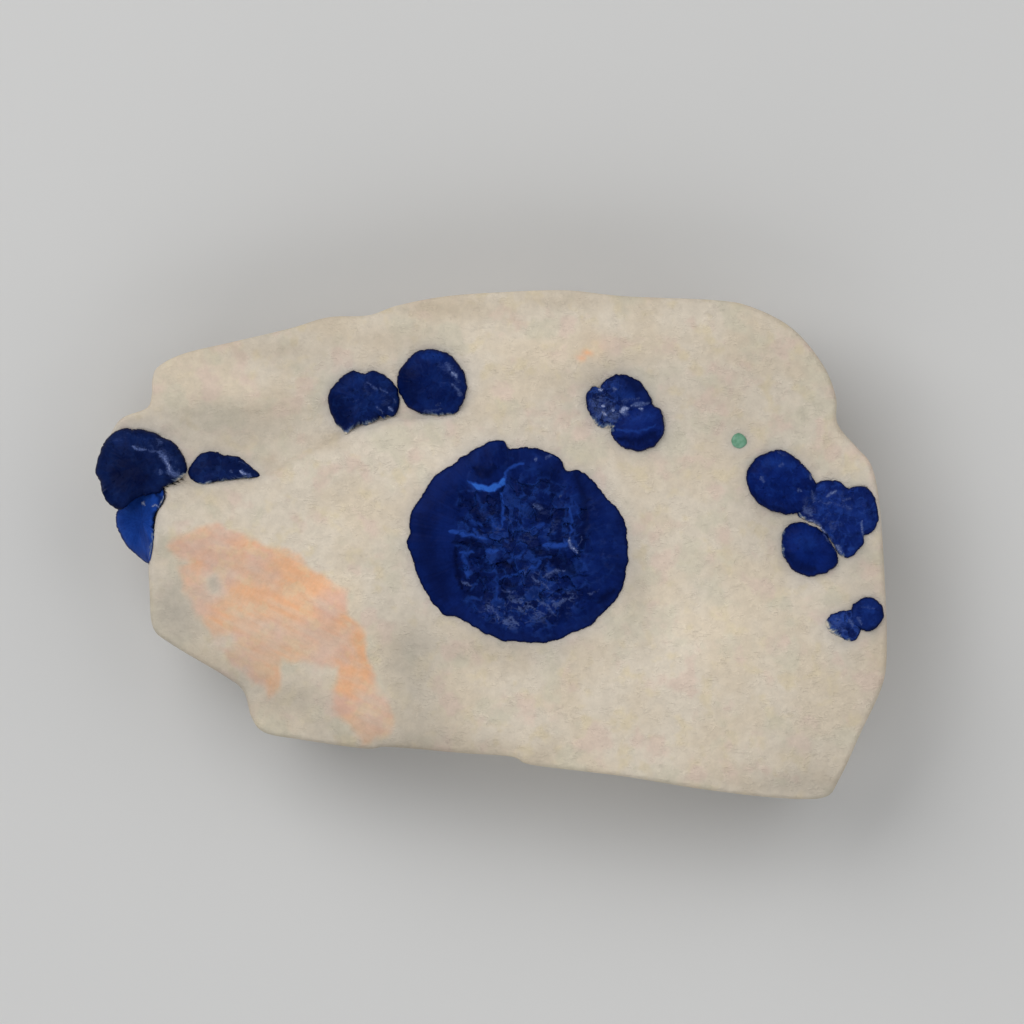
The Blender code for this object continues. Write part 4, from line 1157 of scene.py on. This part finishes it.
# Bright and dark marks are partly painted light and shade; frost is partly painted glints
UPPER_MIDDLE_MARKS = {
    "frost_and_glints": [
        ([(446, 362), (450, 371)], 2.4, 0.48), ([(452, 372), (457, 378)], 2.6, 0.84),
        ([(450, 366), (459, 382)], 5.0, 0.30), ([(453, 384), (458, 391)], 2.0, 0.42),
        ([(459, 391), (461, 397)], 2.2, 0.46), ([(422, 412), (432, 411), (443, 409)], 1.8, 0.36),
        ([(436, 406), (440, 402)], 1.8, 0.3),
    ],
    "dust": [([(414, 416), (430, 417), (456, 416)], 3.2, 0.9)],
    "bright_and_lit": [([(422, 356), (442, 357)], 8, 0.30), ([(430, 370), (450, 388)], 10, 0.16)],
    "dark_and_shaded": [([(405, 368), (408, 384), (414, 402)], 12, 0.65), ([(430, 404), (446, 402)], 8, 0.2)],
    "veined": [([(440, 364), (458, 392)], 9, 0.25)],
}
upper_left = Disc(
    UPPER_LEFT_OUTLINE, rise=1.9 * MM, depth=2.2 * MM, open_by=-1.2 * MM, broken=0.35,
    tint=(1.15, 1.05, 0.90),
)
upper_middle = Disc(
    UPPER_MIDDLE_OUTLINE, rise=2.2 * MM, depth=2.2 * MM, open_by=-0.9 * MM, broken=0.2,
    tint=(1.0, 1.0, 0.95),
)
azurite_sun(
    "upper_left_sun_crystals", "upper_left_sun", [upper_left], marks=UPPER_LEFT_MARKS,
)
azurite_sun(
    "upper_middle_sun_crystals", "upper_middle_sun", [upper_middle], marks=UPPER_MIDDLE_MARKS,
)


# Edge suns
# A dark dome on the slab's left edge, with a frosted ridge round its right side, and below it a smooth
# pale shell that leans down the side of the slab.

EDGE_DOME_OUTLINE = [
    (128, 429), (147, 431), (162, 437), (174, 445), (182, 455), (186, 467), (183, 476), (175, 481),
    (167, 484), (161, 490), (153, 494), (142, 496), (133, 500), (125, 507), (116, 508), (104, 496),
    (98, 480), (96, 465), (104, 444), (115, 432),
]
EDGE_SHELL_OUTLINE = [
    (140, 486), (160, 486), (164, 496), (161, 505), (155, 516), (153, 537), (149, 561), (138, 557),
    (126, 546), (117, 530), (115, 514), (122, 498),
]
# Bright and dark marks are partly painted light and shade; frost is partly painted glints
EDGE_MARKS = {
    "frost_and_glints": [
        ([(132, 447), (140, 449), (146, 449)], 2.0, 0.66), ([(158, 452), (165, 457), (168, 466)], 3.4, 0.60),
        ([(167, 464), (171, 473), (181, 476)], 3.6, 0.62), ([(156, 439), (162, 442)], 2.4, 0.36),
        ([(108, 442), (130, 434), (160, 444), (176, 462)], 8, 0.13), ([(161, 469), (160, 475)], 2.2, 0.42),
        ([(146, 450), (158, 452)], 2.0, 0.35), ([(164, 458), (170, 470)], 1.6, 0.85),
        ([(142, 502), (145, 505)], 1.8, 1.05), ([(152, 506), (160, 507)], 1.7, 0.9),
    ],
    "dust": [
        ([(186, 474), (176, 483), (166, 487)], 3.6, 0.8),
        ([(163, 496), (159, 508), (155, 524), (151, 545), (149, 558)], 1.5, 0.50),
    ],
    "dark_and_shaded": [([(156, 494), (161, 500), (157, 510)], 2.6, 0.8), ([(112, 474), (146, 478)], 17, 0.75)],
    "bright_and_lit": [([(112, 442), (150, 438)], 10, 0.18)],
    "veined": [([(150, 444), (168, 458), (178, 470)], 5, 0.45)],
}
edge_dome = Disc(
    EDGE_DOME_OUTLINE, rise=2.8 * MM, depth=4.2 * MM, drop=1.1 * MM, lean=(195, 0.11), spokes=200,
    open_by=-0.5 * MM, broken=0.25, tint=(1.15, 0.88, 0.64),
)
edge_shell = Disc(
    EDGE_SHELL_OUTLINE, rise=2.0 * MM, depth=4.0 * MM, drop=4.6 * MM, lean=(200, 0.75),
    open_by=0.1 * MM, tint=(3.5, 4.1, 2.9),
)
azurite_sun("edge_suns_crystals", "edge_suns", [edge_dome, edge_shell], marks=EDGE_MARKS)


# Lens sun
# A thin disc seen where it comes out from under the bank of clay, so that only its upper part shows.

LENS_OUTLINE = [
    (206, 453), (215, 452), (223, 455), (234, 456), (243, 460), (252, 467), (259, 476), (244, 478),
    (230, 479), (216, 481), (204, 484), (194, 481), (189, 474), (190, 465), (197, 457),
]
# Its dark mark is partly painted shade, and its frost partly painted glints
LENS_MARKS = {
    "frost_and_glints": [
        ([(229, 470), (233, 473)], 2.0, 0.46), ([(241, 471), (246, 475)], 2.6, 0.90),
        ([(246, 474), (252, 476)], 2.0, 0.6), ([(238, 461), (250, 467)], 2.4, 0.24),
    ],
    "dust": [([(196, 484), (212, 485), (236, 481), (260, 479)], 3.4, 0.75)],
    "dark_and_shaded": [([(196, 466), (220, 464)], 7, 0.3)],
}
lens = Disc(
    LENS_OUTLINE, rise=1.3 * MM, depth=1.6 * MM, open_by=-0.9 * MM, broken=0.3, tint=(1.4, 1.05, 0.80),
)
azurite_sun("lens_sun_crystals", "lens_sun", [lens], marks=LENS_MARKS)


# Upper right suns
# Two discs that grew into each other: the upper one is crumbly and frosted at its lower left, and a
# pale ridge of fine crystals runs between the two.

UPPER_RIGHT_TOP_OUTLINE = [
    (621, 374), (637, 380), (648, 392), (652, 404), (640, 416), (618, 426), (601, 427), (592, 418),
    (586, 400), (588, 391), (594, 386), (600, 388), (604, 382), (611, 377),
]
UPPER_RIGHT_BOTTOM_OUTLINE = [
    (640, 404), (653, 404), (663, 416), (664, 432), (652, 446), (636, 450), (620, 445), (612, 434),
    (614, 420), (624, 410),
]
# Bright and dark marks are partly painted light and shade; frost is partly painted glints
UPPER_RIGHT_MARKS = {
    "frost_and_glints": [
        ([(612, 388), (616, 390)], 2.0, 0.55), ([(622, 402), (640, 398)], 2.8, 0.26),
        ([(603, 404), (606, 406)], 2.4, 1.05), ([(612, 409), (616, 411)], 2.2, 0.95),
        ([(602, 413), (606, 415)], 2.8, 1.05), ([(620, 412), (628, 408)], 4.6, 1.0),
        ([(630, 406), (640, 404), (650, 403)], 2.6, 0.60), ([(638, 409), (643, 408)], 2.0, 0.85),
        ([(592, 400), (600, 411), (618, 417)], 10, 0.40), ([(606, 419), (618, 416)], 4, 0.45),
        ([(598, 390), (603, 389)], 2.6, 1.0),
    ],
    "dust": [([(588, 416), (600, 429), (614, 427)], 5.0, 0.80)],
    "bright_and_lit": [
        ([(616, 430), (638, 432), (655, 425)], 2.4, 0.36), ([(612, 392), (634, 398)], 9, 0.26),
        ([(630, 418), (654, 416)], 8, 0.24), ([(610, 382), (622, 392)], 6, 0.2),
    ],
    "dark_and_shaded": [([(618, 438), (638, 441), (656, 433)], 5.5, 0.75), ([(626, 380), (642, 390)], 6, 0.6)],
    "veined": [([(594, 396), (606, 410), (624, 414)], 11, 0.8)],
}
upper_right_top = Disc(
    UPPER_RIGHT_TOP_OUTLINE, rise=1.4 * MM, depth=1.9 * MM, open_by=-1.0 * MM, tint=(1.7, 1.3, 1.1),
    broken=lambda spots: smooth_step((place((618, 0))[0] - spots[:, 0]) / (3 * MM) + 0.6),
)
upper_right_bottom = Disc(
    UPPER_RIGHT_BOTTOM_OUTLINE, rise=2.0 * MM, depth=2.0 * MM, broken=0.15, tint=(1.5, 1.3, 1.3),
)
azurite_sun(
    "upper_right_suns_crystals", "upper_right_suns", [upper_right_top, upper_right_bottom],
    plate=1.0 * MM, marks=UPPER_RIGHT_MARKS,
)


# Right suns
# A group by the right edge: a round disc, a mass of crystals that grew into it, and just below them a
# disc that a film of white clay keeps apart from the mass.

RIGHT_ROUND_OUTLINE = [
    (774, 451), (784, 451), (792, 456), (801, 463), (810, 473), (816, 488), (810, 505), (798, 513),
    (785, 514), (770, 510), (759, 503), (752, 495), (748, 484), (747, 474), (750, 465), (757, 457),
    (765, 454),
]
RIGHT_MASS_OUTLINE = [
    (832, 481), (840, 483), (847, 488), (856, 487), (867, 488), (874, 497), (877, 512), (876, 526),
    (871, 533), (864, 536), (863, 543), (858, 551), (850, 557), (842, 557), (837, 552), (834, 545),
    (827, 535), (817, 525), (806, 520), (798, 515), (803, 504), (807, 493), (818, 483),
]
# Bright and dark marks are partly painted light and shade; frost is partly painted glints
RIGHT_MARKS = {
    "frost_and_glints": [
        ([(761, 477), (763, 482)], 2.2, 0.46), ([(779, 466), (785, 464)], 2.4, 0.42),
        ([(797, 489), (802, 492)], 2.2, 0.42), ([(810, 473), (811, 480)], 2.0, 0.60),
        ([(811, 490), (814, 502)], 2.8, 0.42), ([(826, 496), (837, 491)], 2.2, 0.70),
        ([(803, 508), (812, 515)], 4.2, 0.46), ([(818, 502), (834, 504), (852, 508)], 2.0, 0.30),
        ([(861, 520), (862, 530), (864, 538)], 1.8, 0.72), ([(836, 545), (841, 554)], 3.4, 0.75),
        ([(842, 500), (852, 498)], 2.0, 0.36), ([(806, 520), (814, 523), (820, 528)], 3.2, 1.1),
        ([(820, 528), (828, 538), (834, 547), (837, 554)], 2.4, 0.90), ([(778, 452), (788, 456)], 3, 0.24),
    ],
    "dust": [
        ([(799, 514), (806, 521)], 2.6, 0.7), ([(838, 554), (844, 558)], 2.6, 0.7),
        ([(864, 536), (868, 540)], 1.8, 0.7),
    ],
    "bright_and_lit": [
        ([(762, 462), (794, 466)], 9, 0.28), ([(812, 498), (836, 508), (856, 512)], 13, 0.20),
        ([(770, 488), (796, 496)], 10, 0.12), ([(840, 494), (866, 500)], 7, 0.16),
    ],
    "dark_and_shaded": [
        ([(812, 486), (816, 496), (810, 506)], 2.4, 0.45), ([(850, 540), (858, 532)], 4, 0.4),
        ([(753, 492), (766, 505), (786, 511)], 3.0, 0.5), ([(868, 500), (873, 524)], 3, 0.35),
    ],
    "veined": [([(806, 500), (826, 512), (840, 540)], 11, 0.40), ([(840, 492), (866, 516)], 9, 0.22)],
}
right_round = Disc(RIGHT_ROUND_OUTLINE, rise=2.0 * MM, depth=2.2 * MM, broken=0.3, tint=(1.0, 1.15, 1.25))
right_mass = Disc(RIGHT_MASS_OUTLINE, rise=1.5 * MM, depth=2.1 * MM, broken=0.5, tint=(1.7, 1.5, 1.42))
azurite_sun("right_suns_crystals", "right_suns", [right_round, right_mass], marks=RIGHT_MARKS)

RIGHT_LOWER_OUTLINE = [
    (800, 522), (811, 525), (823, 532), (832, 543), (837, 555), (835, 566), (821, 573), (806, 575),
    (792, 568), (782, 552), (782, 536), (790, 525),
]
# Bright and dark marks are partly painted light and shade; frost is partly painted glints
RIGHT_LOWER_MARKS = {
    "frost_and_glints": [([(806, 523), (816, 527)], 1.8, 0.60), ([(822, 532), (832, 544), (836, 553)], 1.4, 0.45)],
    "dust": [([(784, 528), (781, 545), (784, 560)], 1.8, 0.45)],
    "bright_and_lit": [([(796, 540), (816, 544)], 13, 0.24)],
    "dark_and_shaded": [([(786, 552), (798, 566), (816, 570)], 6, 0.6)],
}
right_lower = Disc(RIGHT_LOWER_OUTLINE, rise=1.8 * MM, depth=2.1 * MM, broken=0.1, tint=(1.0, 1.15, 1.25))
azurite_sun(
    "right_lower_sun_crystals", "right_lower_sun", [right_lower], marks=RIGHT_LOWER_MARKS,
)


# Small right suns
# A small round disc and a thin frosted one beside it, crumbling away at its lower left.

SMALL_ROUND_OUTLINE = [
    (860, 600), (869, 597), (877, 601), (882, 609), (882, 618), (877, 626), (870, 631), (862, 631),
    (855, 625), (851, 616), (853, 606),
]
SMALL_RAGGED_OUTLINE = [
    (843, 611), (856, 611), (861, 623), (857, 637), (849, 641), (837, 636), (826, 624), (832, 615),
]
# Bright and dark marks are partly painted light and shade; frost is partly painted glints
SMALL_MARKS = {
    "frost_and_glints": [
        ([(861, 608), (868, 607), (876, 608)], 1.9, 0.34), ([(848, 619), (851, 622), (854, 627)], 2.2, 0.56),
        ([(858, 617), (861, 625)], 2.0, 0.42), ([(836, 618), (842, 622)], 2.4, 0.35),
        ([(832, 620), (845, 630)], 8, 0.22),
    ],
    "dust": [([(825, 620), (829, 630), (838, 639), (850, 643)], 4.2, 0.85)],
    "bright_and_lit": [([(835, 620), (855, 625)], 9, 0.30), ([(862, 606), (874, 612)], 7, 0.24)],
    "dark_and_shaded": [([(856, 628), (868, 631), (879, 624)], 2.6, 0.45)],
    "veined": [([(834, 620), (852, 630)], 10, 0.6)],
}
small_round = Disc(
    SMALL_ROUND_OUTLINE, rise=1.2 * MM, depth=1.4 * MM, spokes=110, broken=0.2, tint=(1.6, 1.4, 1.25),
)
small_ragged = Disc(
    SMALL_RAGGED_OUTLINE, rise=0.7 * MM, depth=1.2 * MM, spokes=110, open_by=-0.9 * MM, broken=0.7,
    tint=(2.6, 1.8, 1.45),
)
azurite_sun(
    "small_right_suns_crystals", "small_right_suns", [small_round, small_ragged], rings=28,
    plate=0.9 * MM, marks=SMALL_MARKS,
)


# Malachite bead
# One small smooth button of pale green malachite, set in the clay.

MALACHITE_OUTLINE = [(739, 434), (745, 438), (746, 444), (740, 448), (734, 446), (732, 441), (734, 436)]
MALACHITE_PALE, MALACHITE_GREEN = (0.190, 0.390, 0.270), (0.110, 0.280, 0.170)
MALACHITE_CHALKY = (0.40, 0.50, 0.38)


def malachite(tree):
    """Soft green with paler clouds and a chalky bloom."""
    where = add(tree, "ShaderNodeTexCoord", output="Object")
    fine = grains(where, 0.5 * MM, 3)
    colour = grains(where, 1.2 * MM, 2).rise(0.35, 0.65).mix(MALACHITE_PALE, MALACHITE_GREEN)
    colour = (fine.rise(0.5, 0.75) * 0.25).mix(colour, MALACHITE_CHALKY)
    return colour, 0.55 + fine * 0.2, fine, 0.10 * MM


bead = Disc(MALACHITE_OUTLINE, rise=0.35 * MM, depth=0.9 * MM, spokes=70, open_by=-0.35 * MM)
malachite_bead = sun(
    "malachite_bead_button", [bead], rings=18, scallop=0.04 * MM,
    **{
        "Rib Height": 0.0, "Lump Height": 0.06 * MM, "Lump Size": 0.9 * MM, "Plate Size": 1.0 * MM,
        "Plate Step": 0.0, "Plate Tilt": 0.0, "Scarp Drop": 0.0, "Crystal Density": 0.0,
        "Crystal Length": 0.2 * MM, "Crystal Width": 0.1 * MM, "Seed": 3,
        "Finish": material_of("malachite", malachite, Specular_IOR_Level=0.3),
    },
)
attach(malachite_bead, "root")
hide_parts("malachite_bead")


# Floor and studio light
# A plain pale floor, and large soft lights low round the specimen, the strongest from the upper left, so
# that the dark blue faces that look straight up mirror only the dim room above them.

FLOOR_HALF, FLOOR_CLOUD = 1.6, 0.2
FLOOR_TONES = (0.66, 0.655, 0.645), (0.70, 0.695, 0.685)
floor_mesh = bpy.data.meshes.new("floor")
floor_corners = [(x * FLOOR_HALF, y * FLOOR_HALF, 0) for x, y in ((-1, -1), (1, -1), (1, 1), (-1, 1))]
floor_mesh.from_pydata(floor_corners, [], [(0, 1, 2, 3)])
floor = bpy.data.objects.new("floor", floor_mesh)
bpy.context.scene.collection.objects.link(floor)


def plain_floor(tree):
    """Matt and nearly even."""
    where = add(tree, "ShaderNodeTexCoord", output="Object")
    cloud = grains(where, FLOOR_CLOUD, 2)
    return cloud.mix(*FLOOR_TONES), 0.8 + cloud * 0.1, cloud, 0.1 * MM


floor_mesh.materials.append(material_of("pale floor", plain_floor, Specular_IOR_Level=0.2))

# Each light: the way it stands from the specimen and its height (degrees), its power and its width
LIGHTS = [(138, 44, 10.3, 1.1), (35, 40, 4.4, 1.2), (250, 40, 4.4, 1.2), (315, 38, 2.9, 1.0)]
LIGHT_DISTANCE = 1.3
ROOM_TINT, ROOM_STRENGTH = (0.9, 0.95, 1.0, 1), 0.16
for number, (turn, lift, power, width) in enumerate(LIGHTS):
    lamp = bpy.data.lights.new(f"soft light {number}", "AREA")
    lamp.energy, lamp.size = power, width
    light = bpy.data.objects.new(lamp.name, lamp)
    across, up = math.cos(math.radians(lift)), math.sin(math.radians(lift))
    light.location = (*(facing(turn) * across * LIGHT_DISTANCE), up * LIGHT_DISTANCE)
    light.rotation_euler = (math.radians(90 - lift), 0, math.radians(turn + 90))
    bpy.context.scene.collection.objects.link(light)

world = bpy.data.worlds.new("dim room")
world.use_nodes = True
room = world.node_tree.nodes["Background"]
room.inputs["Color"].default_value = ROOM_TINT
room.inputs["Strength"].default_value = ROOM_STRENGTH
bpy.context.scene.world = world
bpy.context.scene.view_settings.view_transform = "Standard"
